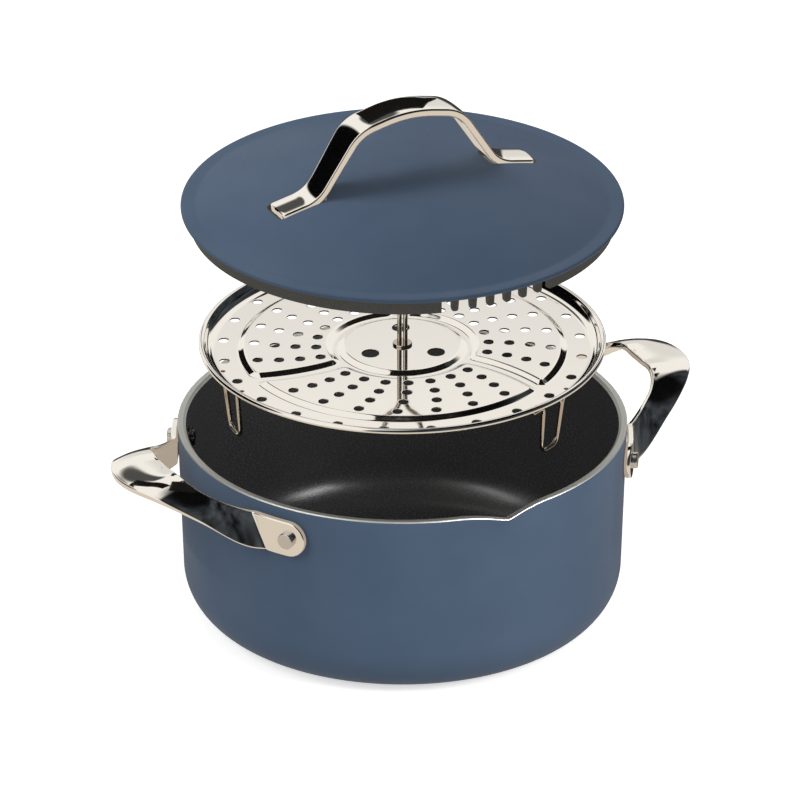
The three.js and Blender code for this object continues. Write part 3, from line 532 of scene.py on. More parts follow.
def side_arm(distance):
    """The arm at distances along the strap: its middle line in plan, its outward direction, height, tilt
    from level, width, how far it has turned to level, and its length. The line leaves the fold straight, with
    its normal n at an angle a, and ends in an arc that touches the tip's line:
    radius = (n . root - tip cos a) / (1 - cos a)."""
    end = math.radians(SIDE_FOOT_ANGLE) + SIDE_FOOT_WIDTH / 2 / SIDE_FOOT_MIDDLE
    angle = end - SIDE_FOLD_AT / SIDE_FOOT_MIDDLE
    root = SIDE_FOOT_MIDDLE * np.array([math.cos(angle), math.sin(angle)])
    leave = angle + math.radians(SIDE_FOLD_PLAN)
    normal = np.array([math.cos(leave), math.sin(leave)])
    heading = np.array([math.sin(leave), -math.cos(leave)])
    tip = RIM_RADIUS + SIDE_TIP_REACH - SIDE_TIP_WIDTH / 2 * math.cos(math.radians(SIDE_TIP_TILT))
    radius = (normal @ root - tip * math.cos(leave)) / (1 - math.cos(leave))
    centre = np.array([tip - radius, 0])
    straight = (centre - root) @ heading
    length = straight + radius * leave

    past = distance - SIDE_FOLD_AT
    bow = leave - np.clip((past - straight) / radius, 0, leave)
    out = points_of(np.cos(bow), np.sin(bow))
    middle = centre + radius * out + np.minimum(past - straight, 0)[..., None] * heading
    share = np.clip(past / length, 0, 1)
    turn = smooth(share / SIDE_TWIST_END)
    tilt = np.radians(mix(90 - SIDE_FOLD_TILT, SIDE_TIP_TILT, turn))
    height = mix(SIDE_FOOT_HEIGHT, POT_HEIGHT + SIDE_TIP_RISE, smooth(share / SIDE_RISE_END))
    width = mix(SIDE_FOOT_WIDTH, SIDE_TIP_WIDTH, turn) - SIDE_WAIST * np.sin(np.pi * share) ** 2
    return middle, out, height, tilt, width, turn, length


def side_handle():
    """Half a side handle from its foot to its tip, and its mirror image. At each distance along the strap
    lies a flat section with round edges. The foot lies on the wall, with a half disc for its end; the arm
    leaves it at a fold, where the strap passes from the foot's place to the arm's by the sign of the
    distance between the two."""
    side, depth, x, y = strap_section(SIDE_FLAT_STEPS)
    radius = SIDE_FOOT_WIDTH / 2
    swing = np.linspace(0, np.pi / 2, FOOT_END_STEPS)[:-1, None]
    edge_radius = radius - SIDE_EDGE + SIDE_EDGE * np.abs(x)
    arm_length = side_arm(np.zeros(1))[-1]
    distance = np.linspace(radius, SIDE_FOLD_AT + arm_length, SIDE_ROWS)[:, None]
    width = side_arm(distance)[4]
    straight = np.broadcast_to(distance, (len(distance), len(x)))
    along = np.concatenate([radius - edge_radius * np.cos(swing), straight])
    across = np.concatenate([
        (side * (radius - SIDE_EDGE) + SIDE_EDGE * x) * np.sin(swing),
        side * (width / 2 - SIDE_EDGE) + SIDE_EDGE * x,
    ])
    deep = np.broadcast_to(depth * (SIDE_STRAP / 2 - SIDE_EDGE) + SIDE_EDGE * y, along.shape)

    end = math.radians(SIDE_FOOT_ANGLE) + radius / SIDE_FOOT_MIDDLE
    angle = end - along / SIDE_FOOT_MIDDLE
    foot_out = points_of(np.cos(angle), np.sin(angle), 0)
    rise = points_of(0, 0, SIDE_FOOT_HEIGHT + across)
    foot = (SIDE_FOOT_MIDDLE + deep)[..., None] * foot_out + rise

    middle, out, height, tilt, _, turn, _ = side_arm(along)
    crown = SIDE_TIP_CROWN * turn * np.where(np.abs(x) < TINY, 1 - side ** 2, 0)
    out = points_of(out[..., 0], out[..., 1], 0)
    up = np.array([0, 0, 1.0])
    sine, cosine = np.sin(tilt)[..., None], np.cos(tilt)[..., None]
    sideways = across[..., None] * (up * sine - out * cosine)
    mid_arm = points_of(middle[..., 0], middle[..., 1], height) + sideways
    arm = mid_arm + (deep + crown)[..., None] * (out * sine + up * cosine)
    apart = np.sum((mid_arm - SIDE_FOOT_MIDDLE * foot_out - rise) * foot_out, axis=-1)
    share = (0.5 + 0.5 * apart / np.sqrt(apart ** 2 + SIDE_FOLD_ROUND ** 2))[..., None]
    half = foot + share * (arm - foot)
    other = half[-2::-1] * [1, -1, 1]
    lengths = points_of(along, across, 0)
    return np.concatenate([half, other]), np.concatenate([lengths, lengths[-2::-1]])


def along_x(points):
    """Points of a piece turned about Z laid over, so that its axis points along X."""
    return points[..., [2, 0, 1]]


def rivet_profile():
    """A rivet's two heads and shank, as radius and distance from the pot's axis."""
    seat = SIDE_FOOT_INNER + SIDE_STRAP - RIVET_SINK
    top = seat + FIT + RIVET_HEAD_HEIGHT
    inner_seat = RIVET_WASHER_SEAT - RIVET_WASHER_HEIGHT
    inner_end = inner_seat - RIVET_INNER_HEIGHT
    head, inner, shank = RIVET_HEAD / 2, RIVET_INNER_HEAD / 2, RIVET_SHANK / 2
    flat, inner_flat = head - RIVET_HEAD_EDGE, inner - RIVET_INNER_EDGE
    crown = (0, top + RIVET_CROWN)
    return np.concatenate([
        [[0, inner_end]],
        arc((inner_flat, inner_end + RIVET_INNER_EDGE), RIVET_INNER_EDGE, -90, 0, SMALL_STEPS),
        [[inner, inner_seat], [shank, inner_seat], [shank, seat], [head, seat]],
        arc((flat, top - RIVET_HEAD_EDGE), RIVET_HEAD_EDGE, 0, 90, SMALL_STEPS),
        line((flat - CROWN_START, top + RIVET_CROWN_FOOT), crown, FEW_STEPS),
        [crown],
    ])


def rivet_finish():
    """The rows of a rivet's profile whose finish is that of its dark inner head."""
    return (rivet_profile()[:-1, 1] < RIVET_WASHER_SEAT - RIVET_WASHER_HEIGHT).astype(int)


def ring_profile(bore, diameter, bottom, height, edge):
    """A flat ring with broken outer edges, as a closed profile."""
    inner, outer, top = bore / 2, diameter / 2, bottom + height
    return np.array([
        [inner, bottom], [outer - edge, bottom], [outer, bottom + edge], [outer, top - edge],
        [outer - edge, top], [inner, top], [inner, bottom],
    ])


# Lid, in its own frame: height 0 is the face that rests on the rim

LID_RADIUS = RIM_RADIUS - LID_SETBACK
DOME_FOOT = LID_RADIUS - LID_BAND
DOME_RADIUS = (DOME_FOOT ** 2 + LID_DOME ** 2) / (2 * LID_DOME)
DOME_CENTRE = LID_EDGE + LID_DOME - DOME_RADIUS
GASKET_RADIUS = inner_radius(POT_HEIGHT) - GASKET_CLEARANCE
GASKET_INNER = GASKET_RADIUS - GASKET_FLANGE
BOSS_BOTTOM = -POCKET_DEPTH - BOSS_FLOOR
FOOT_BOTTOM = FIT - POCKET_DEPTH


def dome_height(radius):
    """Height of the lid's dome, a part of a sphere, at a radius."""
    return DOME_CENTRE + np.sqrt(DOME_RADIUS ** 2 - np.asarray(radius, float) ** 2)


def on_foot(points, side):
    """Points of a handle foot's own frame, X down the dome and Z square to it, put into the lid's frame."""
    slope = math.asin(GRIP_FOOT_RADIUS / DOME_RADIUS)
    basis = np.array([
        [side * math.cos(slope), 0, -math.sin(slope)],
        [0, side, 0],
        [side * math.sin(slope), 0, math.cos(slope)],
    ])
    middle = [side * GRIP_FOOT_RADIUS, 0, float(dome_height(GRIP_FOOT_RADIUS))]
    return np.asarray(points, float) @ basis + middle


def lid_profile():
    """The lid from the middle of its dome over the band and the edge to the middle of its hollow."""
    edge = LID_EDGE / 2
    flat = LID_RADIUS - edge
    dome = np.linspace(0, DOME_FOOT - LID_BAND_ROUND, WALL_STEPS)
    foot = np.linspace(DOME_FOOT - LID_BAND_ROUND, DOME_FOOT + LID_BAND_ROUND, LID_EDGE_STEPS)
    over = np.where(foot < DOME_FOOT, dome_height(np.minimum(foot, DOME_FOOT)), LID_EDGE)
    ease = np.clip((foot - DOME_FOOT) / (2 * LID_BAND_ROUND) + 0.5, 0, 1)
    slope = DOME_FOOT / (LID_EDGE - DOME_CENTRE)
    over = np.maximum(LID_EDGE + slope * LID_BAND_ROUND * (1 - ease) ** 2, over)
    hollow = np.linspace(GASKET_INNER - LID_SHELL, 0, CORNER_STEPS)
    top = np.concatenate([
        points_of(dome, dome_height(dome))[:-1],
        points_of(foot, over),
        line((DOME_FOOT + LID_BAND_ROUND + BAND_START, LID_EDGE), (flat, LID_EDGE), SHORT_STEPS),
        arc((flat, edge), edge, 90, -90, LID_EDGE_STEPS),
    ])
    under = np.concatenate([
        line((flat - BAND_START, 0), (GASKET_INNER, 0), SMALL_STEPS),
        points_of(hollow, dome_height(hollow) - LID_SHELL),
    ])
    return top, under


def foot_block(margin, bottom, top, side):
    """A block with rounded corners around a handle foot, grown by a margin, as a closed surface."""
    corner = POCKET_CORNER + margin
    inner = -GRIP_FOOT_LENGTH / 2 - POCKET_HEEL - margin + corner
    outer = GRIP_FOOT_LENGTH / 2 + POCKET_END_GAP + margin - corner
    half = GRIP_FOOT_WIDTH / 2 + POCKET_SIDE_GAP + margin - corner
    places = ((outer, half), (inner, half), (inner, -half), (outer, -half))
    outline = np.concatenate([
        arc(place, corner, 90 * turn, 90 * turn + 90, SMALL_CORNER_STEPS) for turn, place in enumerate(places)
    ])
    rings = np.stack([points_of(*outline.T, height) for height in (bottom, top)])
    points, faces, _ = surface(on_foot(rings, side))
    count = len(outline)
    return points, [faces, cap(0, count, True), cap(count, count)]


def tooth(top, bottom):
    """A straining tooth as rings of a squared circle, sign(cos) |cos|^0.5 and sign(sin) |sin|^0.5: its half
    width narrows down to its tip, where both half widths draw in by a quarter circle."""
    straight = np.linspace(top, bottom + TOOTH_ROUND, TOOTH_ROWS)
    tip = np.linspace(0, np.pi / 2, TOOTH_ROWS + 1)[1:]
    height = np.concatenate([straight, bottom + TOOTH_ROUND * (1 - np.sin(tip))])
    draw = np.concatenate([0 * straight, TOOTH_ROUND * (1 - np.cos(tip))])
    half_width = mix(TOOTH_WIDTH, TOOTH_TIP_WIDTH, (top - height) / (top - bottom)) / 2 - draw
    half_depth = TOOTH_DEPTH / 2 - draw
    angle = round_angles(TOOTH_SIDES)
    x, y = (np.sign(wave) * np.abs(wave) ** TOOTH_SQUARE for wave in (np.cos(angle), np.sin(angle)))
    place = np.outer(half_depth, y) + TOOTH_DEPTH / 2 - GASKET_RADIUS
    return points_of(np.outer(half_width, x), place, height[:, None])


def gasket_surfaces():
    """The silicone ring: a flat flange all round, a skirt that is open at the pouring lip, and a row of
    round-ended teeth across the opening."""
    top, flange, bottom = -FIT, -FIT - GASKET_FLANGE_HEIGHT, -FIT - GASKET_DEPTH
    inside, edge = GASKET_RADIUS - GASKET_SKIRT, GASKET_EDGE
    low, high = bottom + edge, flange + edge
    flat_ring = np.array([
        [GASKET_INNER, flange], [GASKET_RADIUS - edge, flange], [GASKET_RADIUS, high],
        [GASKET_RADIUS, top], [GASKET_INNER, top], [GASKET_INNER, flange],
    ])
    skirt = np.concatenate([
        [[inside, high]],
        arc((inside + edge, low), edge, 180, 270, SHORT_STEPS),
        arc((GASKET_RADIUS - edge, low), edge, -90, 0, SHORT_STEPS),
        [[GASKET_RADIUS, high]],
    ])
    half = math.radians(STRAINER_ANGLE / 2)
    angle = np.linspace(half, 2 * np.pi - half, LID_SEGMENTS)[:, None]
    radius, height = skirt.T
    points, faces, _ = surface(points_of(np.sin(angle) * radius, -np.cos(angle) * radius, height))
    count = len(skirt)
    ends = [cap(0, count), cap(len(points) - count, count, True)]
    made = [surface(turned(flat_ring, LID_SEGMENTS)), (points, [faces, *ends], 0)]
    for number in range(TOOTH_COUNT):
        turn = (number - (TOOTH_COUNT - 1) / 2) * TOOTH_PITCH
        points, faces, _ = surface(spun(tooth(high, bottom), turn))
        ends = [cap(0, TOOTH_SIDES, True), cap(len(points) - TOOTH_SIDES, TOOTH_SIDES)]
        made.append((points, [faces, *ends], 0))
    return made


def lid_handle():
    """The lid handle's strap along its bent path: foot, leg, shoulder, crown and back, with a flat section
    that widens towards the crown, round edges, a slightly domed face and rounded foot ends, which draw in by
    corner (1 - sqrt(1 - (1 - distance / corner)^2))."""
    middle = FOOT_BOTTOM + GRIP_STRAP / 2
    foot_end = GRIP_FOOT_LENGTH / 2
    crown = GRIP_TOP - GRIP_STRAP / 2
    above = GRIP_CROWN * BEND_SHARE / (2 - BEND_SHARE)
    corners = [
        on_foot((foot_end, 0, middle), -1), on_foot((-foot_end, 0, middle), -1),
        (-GRIP_SHOULDER, 0, crown - GRIP_CROWN), (0, 0, crown + above),
        (GRIP_SHOULDER, 0, crown - GRIP_CROWN),
        on_foot((-foot_end, 0, middle), 1), on_foot((foot_end, 0, middle), 1),
    ]
    bends = [GRIP_FOOT_BEND, GRIP_SHOULDER_BEND, GRIP_CROWN_BEND, GRIP_SHOULDER_BEND, GRIP_FOOT_BEND]
    points, ahead, places = evened(bent_path(corners, bends, BEND_STEPS), GRIP_SPACING)
    side, depth, x, y = strap_section(GRIP_FLAT_STEPS)
    foot_top = corners[1][2]
    width = mix(GRIP_FOOT_WIDTH, GRIP_WIDTH, smooth((points[:, 2] - foot_top) / (GRIP_TOP - foot_top)))
    near_end = np.minimum(places, places[-1] - places)
    narrow, thin = (
        corner * (1 - np.sqrt(1 - (1 - np.clip(near_end / corner, 0, 1)) ** 2))
        for corner in (GRIP_FOOT_CORNER, GRIP_EDGE)
    )
    half_width = width / 2 - narrow - GRIP_EDGE
    half_depth = GRIP_STRAP / 2 - GRIP_EDGE - thin * GRIP_END_THINNING
    across = half_width[:, None] * side + GRIP_EDGE * x
    domed = np.where((depth > 0) & (np.abs(x) < TINY), GRIP_CROSS_CROWN * (1 - side ** 2), 0)
    deep = half_depth[:, None] * depth + GRIP_EDGE * y + domed
    face = points_of(-ahead[:, 2], 0, ahead[:, 0])
    grid = points[:, None] + across[..., None] * [0, 1, 0] + deep[..., None] * face[:, None]
    return grid, points_of(places[:, None], across, 0)


def screw_surface():
    """A pan-head screw seen from below: a turned head with a six-lobed recess, r = a (1 + b cos 6t)."""
    seat = BOSS_BOTTOM - SCREW_WASHER_HEIGHT
    bottom = seat - SCREW_HEAD_HEIGHT
    deep = bottom + SCREW_RECESS_DEPTH
    head = SCREW_HEAD / 2
    angle = round_angles(SCREW_SIDES)
    lobes = SCREW_RECESS * (1 + SCREW_LOBE * np.cos(SCREW_LOBES * angle))
    edge = (head - SCREW_HEAD_EDGE, bottom + SCREW_HEAD_EDGE)
    rows = np.concatenate([
        [[0, seat + FIT], [head, seat + FIT]],
        arc(edge, SCREW_HEAD_EDGE, 0, -90, SMALL_CORNER_STEPS),
    ])
    recess = [lobes + SCREW_RECESS_EDGE, lobes, lobes, 0 * lobes]
    radius = np.concatenate([np.repeat(rows[:, :1], len(angle), axis=1), recess])
    height = np.concatenate([rows[:, 1], [bottom, bottom + SCREW_RECESS_STEP, deep, deep]])
    return points_of(radius * np.sin(angle), -radius * np.cos(angle), height[:, None])


# Rack, in its own frame: height 0 is the top of its flat, and angles start from -Y towards +X

RACK_RADIUS = inner_radius(BASE_THICKNESS + RACK_STANDOFF) - RACK_CLEARANCE
FLAT_RADIUS = RACK_RADIUS - RACK_LIP_WIDTH
SHEET_RADIUS = FLAT_RADIUS - SHEET_EDGE
PANEL_INNER = CENTRE_PANEL_RADIUS + PANEL_CHANNEL / 2
PANEL_OUTER = FLAT_RADIUS - OUTER_FLAT
FIRST_RING = PANEL_INNER + PANEL_BEVEL + HOLE_MARGIN
LAST_RING = PANEL_OUTER - PANEL_BEVEL - HOLE_MARGIN
LEG_RADIUS = FLAT_RADIUS - LEG_INSET
LEG_TOP = -RACK_SHEET - WIRE / 2
RACK_SEAT = INNER_CORNER_TOP + FIT + RACK_STANDOFF - math.sqrt(
    INNER_CORNER ** 2 - max(LEG_RADIUS - LEG_LEAN + WIRE / 2 - FLOOR_RADIUS, 0) ** 2
)
LOOP_HEIGHT = POT_HEIGHT + float(dome_height(0)) - LID_SHELL - LOOP_HEADROOM - RACK_SEAT


def around(radius, degrees):
    """Points at a radius and an angle from -Y towards +X, as x and y."""
    turn = np.radians(degrees)
    return points_of(radius * np.sin(turn), -radius * np.cos(turn))


def swept(radius):
    """How far the columns of holes have swept round at a radius: sweep share^curl."""
    share = np.maximum((radius - FIRST_RING) / (LAST_RING - FIRST_RING), 0)
    return COLUMN_SWEEP * share ** COLUMN_CURL


def panel_inset(points):
    """How far points of the sheet lie inside the outline of a raised panel: inside the centre circle, or
    inside the two arcs and the two swept sides of a fan, with a quarter circle at each corner. It is
    negative on the flats between them."""
    x, y = points.T
    radius = np.hypot(x, y)
    past = np.mod(np.degrees(np.arctan2(x, -y)) + swept(radius) - SPOKE_ANGLE, SPOKE_PITCH)
    side = np.radians(np.minimum(past, SPOKE_PITCH - past)) * radius - PANEL_CHANNEL / 2
    end = np.minimum(radius - PANEL_INNER, PANEL_OUTER - radius)
    nearest = np.minimum(side, end)
    short = np.hypot(np.maximum(PANEL_CORNER - side, 0), np.maximum(PANEL_CORNER - end, 0))
    fan = np.where(nearest < PANEL_CORNER, PANEL_CORNER - short, nearest)
    return np.maximum(CENTRE_PANEL_RADIUS - radius, fan)


def sheet_bow(radius):
    """How far the pressed sheet rises towards its middle: bow (1 - (r / R)^2)."""
    return SHEET_BOW * (1 - (radius / SHEET_RADIUS) ** 2)


def panel_rise(inset):
    """Height of the embossing over its bevel: a straight ramp with a round foot and a round shoulder."""
    share = np.clip(inset / PANEL_BEVEL, 0, 1)
    slope = 1 / (1 - PANEL_FILLET)
    foot = slope * share ** 2 / (2 * PANEL_FILLET)
    ramp = slope * (share - PANEL_FILLET / 2)
    shoulder = 1 - slope * (1 - share) ** 2 / (2 * PANEL_FILLET)
    upper = np.where(share > 1 - PANEL_FILLET, shoulder, ramp)
    return PANEL_HEIGHT * np.where(share < PANEL_FILLET, foot, upper)


def sheet_height(points):
    """Height of the top of the sheet: embossing and bow together."""
    return panel_rise(panel_inset(points)) + sheet_bow(np.hypot(*points.T))


def fan_outline(spoke, inset):
    """The outline of a fan panel drawn in by an inset: outer arc, swept side, inner arc and swept side,
    joined by corners whose distances to the side and to the arc follow a quarter circle."""
    def at(radius, from_side, first):
        """Radius and angle of points at a distance from the fan's first or last side."""
        start = SPOKE_ANGLE + (spoke + (0 if first else 1)) * SPOKE_PITCH - swept(radius)
        off = np.degrees((PANEL_CHANNEL / 2 + from_side) / radius)
        return np.stack([radius, start + off * (1 if first else -1)])

    turn = np.linspace(0, np.pi / 2, PANEL_CORNER_STEPS)
    side, end = (PANEL_CORNER - (PANEL_CORNER - inset) * wave(turn) for wave in (np.cos, np.sin))
    outer_first = at(PANEL_OUTER - end, side, True)
    outer_last = at(PANEL_OUTER - end[::-1], side[::-1], False)
    inner_last = at(PANEL_INNER + end, side, False)
    inner_first = at(PANEL_INNER + end[::-1], side[::-1], True)
    long, short = (np.linspace(0, 1, steps)[1:-1] for steps in (PANEL_LONG_STEPS, PANEL_SHORT_STEPS))
    path = np.concatenate([
        outer_first, mix(outer_first[:, -1:], outer_last[:, :1], long), outer_last,
        at(mix(outer_last[0, -1], inner_last[0, 0], short), inset, False),
        inner_last, mix(inner_last[:, -1:], inner_first[:, :1], long), inner_first,
        at(mix(inner_first[0, -1], outer_first[0, 0], short), inset, True),
    ], axis=1)
    return around(*path)


def hole_places():
    """Centres and diameters of the holes: a ring near the edge, swept columns in the fans, and three in
    the middle."""
    pitch = 360 / COLUMN_COUNT
    columns = np.arange(COLUMN_COUNT)
    edge = around(FLAT_RADIUS - OUTER_HOLE_INSET, OUTER_HOLE_ANGLE + columns * pitch)
    kept = columns[columns % (COLUMN_COUNT // SPOKE_COUNT) != 0]
    column, row = np.meshgrid(kept, np.linspace(FIRST_RING, LAST_RING, HOLE_RINGS))
    fans = around(row, SPOKE_ANGLE + column * pitch - swept(row)).reshape(-1, 2)
    middle = around(CENTRE_HOLE_RADIUS, CENTRE_HOLE_ANGLE + np.arange(SPOKE_COUNT) * SPOKE_PITCH)
    diameters = np.repeat([HOLE, HOLE, CENTRE_HOLE], [len(edge), len(fans), len(middle)])
    return np.concatenate([edge, fans, middle]), diameters


def ring_edges(count, size):
    """Edges of rings of points that lie one after the other."""
    start = np.arange(count)[:, None] * size
    place = np.arange(size)
    return points_of(start + place, start + (place + 1) % size).reshape(-1, 2)


def rack_rim():
    """The rack's rim as a turned profile: fillet, leaning lip, rolled bead and underside."""
    bead = RACK_BEAD / 2
    start = np.array([SHEET_RADIUS, 0])
    centre = start + [0, RACK_LIP_FILLET]
    fillet = arc(centre, RACK_LIP_FILLET, -90, RACK_LIP_LEAN - 90, FILLET_STEPS)
    bead_at = (RACK_RADIUS - bead, RACK_LIP_HEIGHT - bead)
    curl = arc(bead_at, bead, RACK_LIP_LEAN + 90, RACK_CURL_END, CURL_STEPS)
    under = (FLAT_RADIUS + RACK_SHEET, -RACK_LIP_UNDER)
    profile = np.concatenate([
        fillet, line(fillet[-1], curl[0], ROUND_EDGE_STEPS)[1:], curl,
        line(curl[-1] - [CURL_START, 0], under, SHORT_STEPS),
        [[FLAT_RADIUS, -RACK_SHEET], [SHEET_RADIUS, -RACK_SHEET]],
    ])
    return surface(turned(profile, RACK_SEGMENTS))


def rack_surfaces():
    """The rack's sheet as a flat triangulated between the outlines of its holes and panels, raised by the
    embossing, with a second copy below it and walls in the holes; and its rim."""
    centres, diameters = hole_places()
    circle = around(1.0, np.linspace(0, 360, HOLE_SIDES, endpoint=False))
    rings = [
        centres[:, None] + (diameters / 2 + grow)[:, None, None] * circle
        for grow in (0, HOLE_EDGE, HOLE_EDGE + SUPPORT)
    ]
    levels = np.linspace(0, 1, PANEL_ROWS) * PANEL_BEVEL
    levels = np.concatenate([[-SUPPORT], levels, [PANEL_BEVEL + SUPPORT]])
    fans = np.stack([fan_outline(spoke, level) for spoke in range(SPOKE_COUNT) for level in levels])
    fine = np.linspace(0, 360, PANEL_SEGMENTS, endpoint=False)
    discs = np.stack([around(CENTRE_PANEL_RADIUS - level, fine) for level in levels])
    rim_turn = np.linspace(0, 360, RACK_SEGMENTS, endpoint=False)
    border = np.stack([around(SHEET_RADIUS, rim_turn), around(SHEET_RADIUS - SUPPORT, rim_turn)])
    groups = [np.concatenate(rings), fans, discs, border]
    starts = np.cumsum([0] + [group.shape[0] * group.shape[1] for group in groups])
    points = np.concatenate([group.reshape(-1, 2) for group in groups])
    edges = np.concatenate([ring_edges(*group.shape[:2]) + start for group, start in zip(groups, starts)])
    flat, _, triangles, *_ = delaunay_2d_cdt(
        [Vector(point) for point in points.tolist()], edges.tolist(), [], 0, FLAT_DISTANCE
    )
    flat, triangles = np.array(flat), np.array(triangles)
    middle = flat[triangles].mean(axis=1)
    away = np.linalg.norm(middle[:, None] - centres, axis=-1) - diameters / 2 * math.cos(math.pi / HOLE_SIDES)
    triangles = triangles[away.min(axis=1) > 0]

    to_hole = np.linalg.norm(flat[:, None] - centres, axis=-1) - diameters / 2
    at_hole = np.clip(1 - to_hole.min(axis=1) / HOLE_EDGE, 0, 1) ** 2
    height = sheet_height(flat) - HOLE_EDGE_DROP * at_hole
    top = np.column_stack([flat, height])
    under = np.column_stack([flat, height - RACK_SHEET + 2 * HOLE_EDGE_DROP * at_hole])
    sheet = (np.concatenate([top, under]), [triangles, triangles[:, ::-1] + len(top)], 0)

    rise = sheet_height(rings[0].reshape(-1, 2)).reshape(len(centres), HOLE_SIDES, 1)
    upper = np.concatenate([rings[0], rise - HOLE_EDGE_DROP], axis=-1)
    lower = np.concatenate([rings[0], rise - RACK_SHEET + HOLE_EDGE_DROP], axis=-1)
    walls = [surface(np.stack(pair), finish=1) for pair in zip(upper, lower)]
    return [sheet, rack_rim()] + walls


def rack_leg(number):
    """A leg of wire bent to a narrowing U that leans in, with its two ends turned out under the plate."""
    low = WIRE / 2 - RACK_STANDOFF
    lean = LEG_LEAN / (LEG_TOP - low)
    half = ((LEG_WELD_SPAN / 2, LEG_TOP), (LEG_TOP_SPAN / 2, LEG_TOP), (LEG_FOOT_SPAN / 2, low))
    outline = [(-x, z) for x, z in half] + [(x, z) for x, z in half[::-1]]
    corners = [(x, lean * (LEG_TOP - z) - LEG_RADIUS, z) for x, z in outline]
    grid = wire(bent_path(corners, [LEG_BEND] * 4, LEG_BEND_STEPS), (0, 1, lean))
    return spun(grid, LEG_ANGLE + number * SPOKE_PITCH)


def lifting_loop():
    """Wire bent to a finger loop on two close uprights that pass through the middle of the plate."""
    near, wide = LOOP_SPACING / 2, (LOOP_WIDTH - WIRE) / 2
    bottom = PANEL_HEIGHT - RACK_SHEET - LOOP_TAIL
    top, waist = LOOP_HEIGHT - WIRE / 2, LOOP_HEIGHT - LOOP_OPENING
    half = [(near, bottom), (near, waist), (wide, waist + LOOP_SHOULDER), (wide, top)]
    corners = [(-x, 0, z) for x, z in half] + [(x, 0, z) for x, z in half[::-1]]
    return wire(bent_path(corners, [LOOP_BEND] * 6, LOOP_BEND_STEPS), (0, 1, 0))


def weld_marks():
    """Low domes on the plate over the ends of each leg, z = h cos(pi r / 2), closed below in the sheet."""
    share = np.linspace(0, 1, SMALL_STEPS)
    height = WELD_MARK_HEIGHT * np.cos(share * np.pi / 2) - WELD_MARK_SINK
    dome = points_of(np.append(share * WELD_MARK / 2, 0), np.append(height, -WELD_MARK_SINK))
    spread = np.degrees((LEG_WELD_SPAN + LEG_TOP_SPAN) / 4 / LEG_RADIUS)
    legs = LEG_ANGLE + np.arange(SPOKE_COUNT) * SPOKE_PITCH
    places = around(LEG_RADIUS, np.add.outer(legs, [-spread, spread]).reshape(-1))
    rise = sheet_bow(LEG_RADIUS)
    return [surface(turned(dome, WELD_SIDES) + [*place, rise]) for place in places]


# Materials

# A noise value lies mostly in this range
NOISE_SPREAD = {"From Min": 0.3, "From Max": 0.7}
METAL = {"Metallic": 1.0}


def linear(code):
    """An sRGB hex colour as linear red, green, blue and alpha."""
    channels = np.array([int(code[place:place + 2], 16) for place in (1, 3, 5)]) / 255
    curve = np.where(channels <= 0.04045, channels / 12.92, ((channels + 0.055) / 1.055) ** 2.4)
    return (*curve.tolist(), 1.0)


def per(size):
    """The scale at which a noise pattern has features of a size in millimetres."""
    return 1 / (size * MM)


def add(tree, kind, inputs, output=0, **settings):
    """Adds a node with its settings, fills its inputs with values or links, and gives one of its outputs."""
    node = kind if isinstance(kind, bpy.types.Node) else tree.nodes.new(kind)
    for key, value in settings.items():
        setattr(node, key, value)
    for key, value in inputs.items():
        if isinstance(value, bpy.types.NodeSocket):
            tree.links.new(value, node.inputs[key])
        else:
            node.inputs[key].default_value = value
    return node.outputs[output] if node.outputs else node


def started(name):
    """A new material and its node tree, with object coordinates."""
    material = bpy.data.materials.new(name)
    material.use_nodes = True
    return material, material.node_tree, add(material.node_tree, "ShaderNodeTexCoord", {}, "Object")


def dressed(material, colours, tint, roughness, grain, bump, values):
    """Fills a material's shader: one colour, or two mixed along a tint pattern; one roughness, or two ends
    along a grain pattern; a bump as its pattern, depth in millimetres and strength; and plain values."""
    tree = material.node_tree
    filled = {"Base Color": linear(colours[0]), "Roughness": roughness[0], **values}
    if len(colours) == 2:
        shade = add(tree, "ShaderNodeMapRange", {"Value": tint, **NOISE_SPREAD})
        ends = {0: shade, 6: linear(colours[0]), 7: linear(colours[1])}
        filled["Base Color"] = add(tree, "ShaderNodeMix", ends, 2, data_type="RGBA")
    if len(roughness) == 2:
        gloss = {"Value": grain, **NOISE_SPREAD, "To Min": roughness[0], "To Max": roughness[1]}
        filled["Roughness"] = add(tree, "ShaderNodeMapRange", gloss)
    if bump:
        relief, depth, strength = bump
        settings = {"Height": relief, "Distance": depth * MM, "Strength": strength}
        filled["Normal"] = add(tree, "ShaderNodeBump", settings)
    add(tree, tree.nodes["Principled BSDF"], filled)
    return material


def slate_blue_coating():
    """Satin coating sprayed and baked on aluminium."""
    # An even slate blue with a soft, broad sheen, a faint mottle and the orange peel of spraying.
    # The peel is really 0.5 mm wide; it is drawn at 1.1 mm so that it shows.
    material, tree, place = started("slate_blue_satin_coating")
    mottle = add(tree, "ShaderNodeTexNoise", {"Vector": place, "Scale": per(40), "Detail": 3}, "Fac")
    peel = add(tree, "ShaderNodeTexNoise", {"Vector": place, "Scale": per(1.1), "Detail": 2}, "Fac")
    values = {"IOR": 1.5, "Specular IOR Level": 0.07}
    return dressed(material, ("#46566b", "#4b5b70"), mottle, (0.42, 0.52), peel, (peel, 0.02, 0.35), values)


def charcoal_nonstick():
    """Non-stick coating inside the pot and the lid; in the lid's handle pockets it is laid as painted shade.
    """
    # Near-black grey, smoother than the outside, with a fine mineral grain that breaks up its highlights.
    # The grain is really 0.2 mm; it is drawn at 0.9 mm so that it shows.
    material, tree, place = started("charcoal_nonstick_coating")
    grain = add(tree, "ShaderNodeTexNoise", {"Vector": place, "Scale": per(0.9), "Detail": 3}, "Fac")
    bump = (grain, 0.04, 0.25)
    return dressed(material, ("#303030", "#363636"), grain, (0.23, 0.30), grain, bump, {"IOR": 1.5})


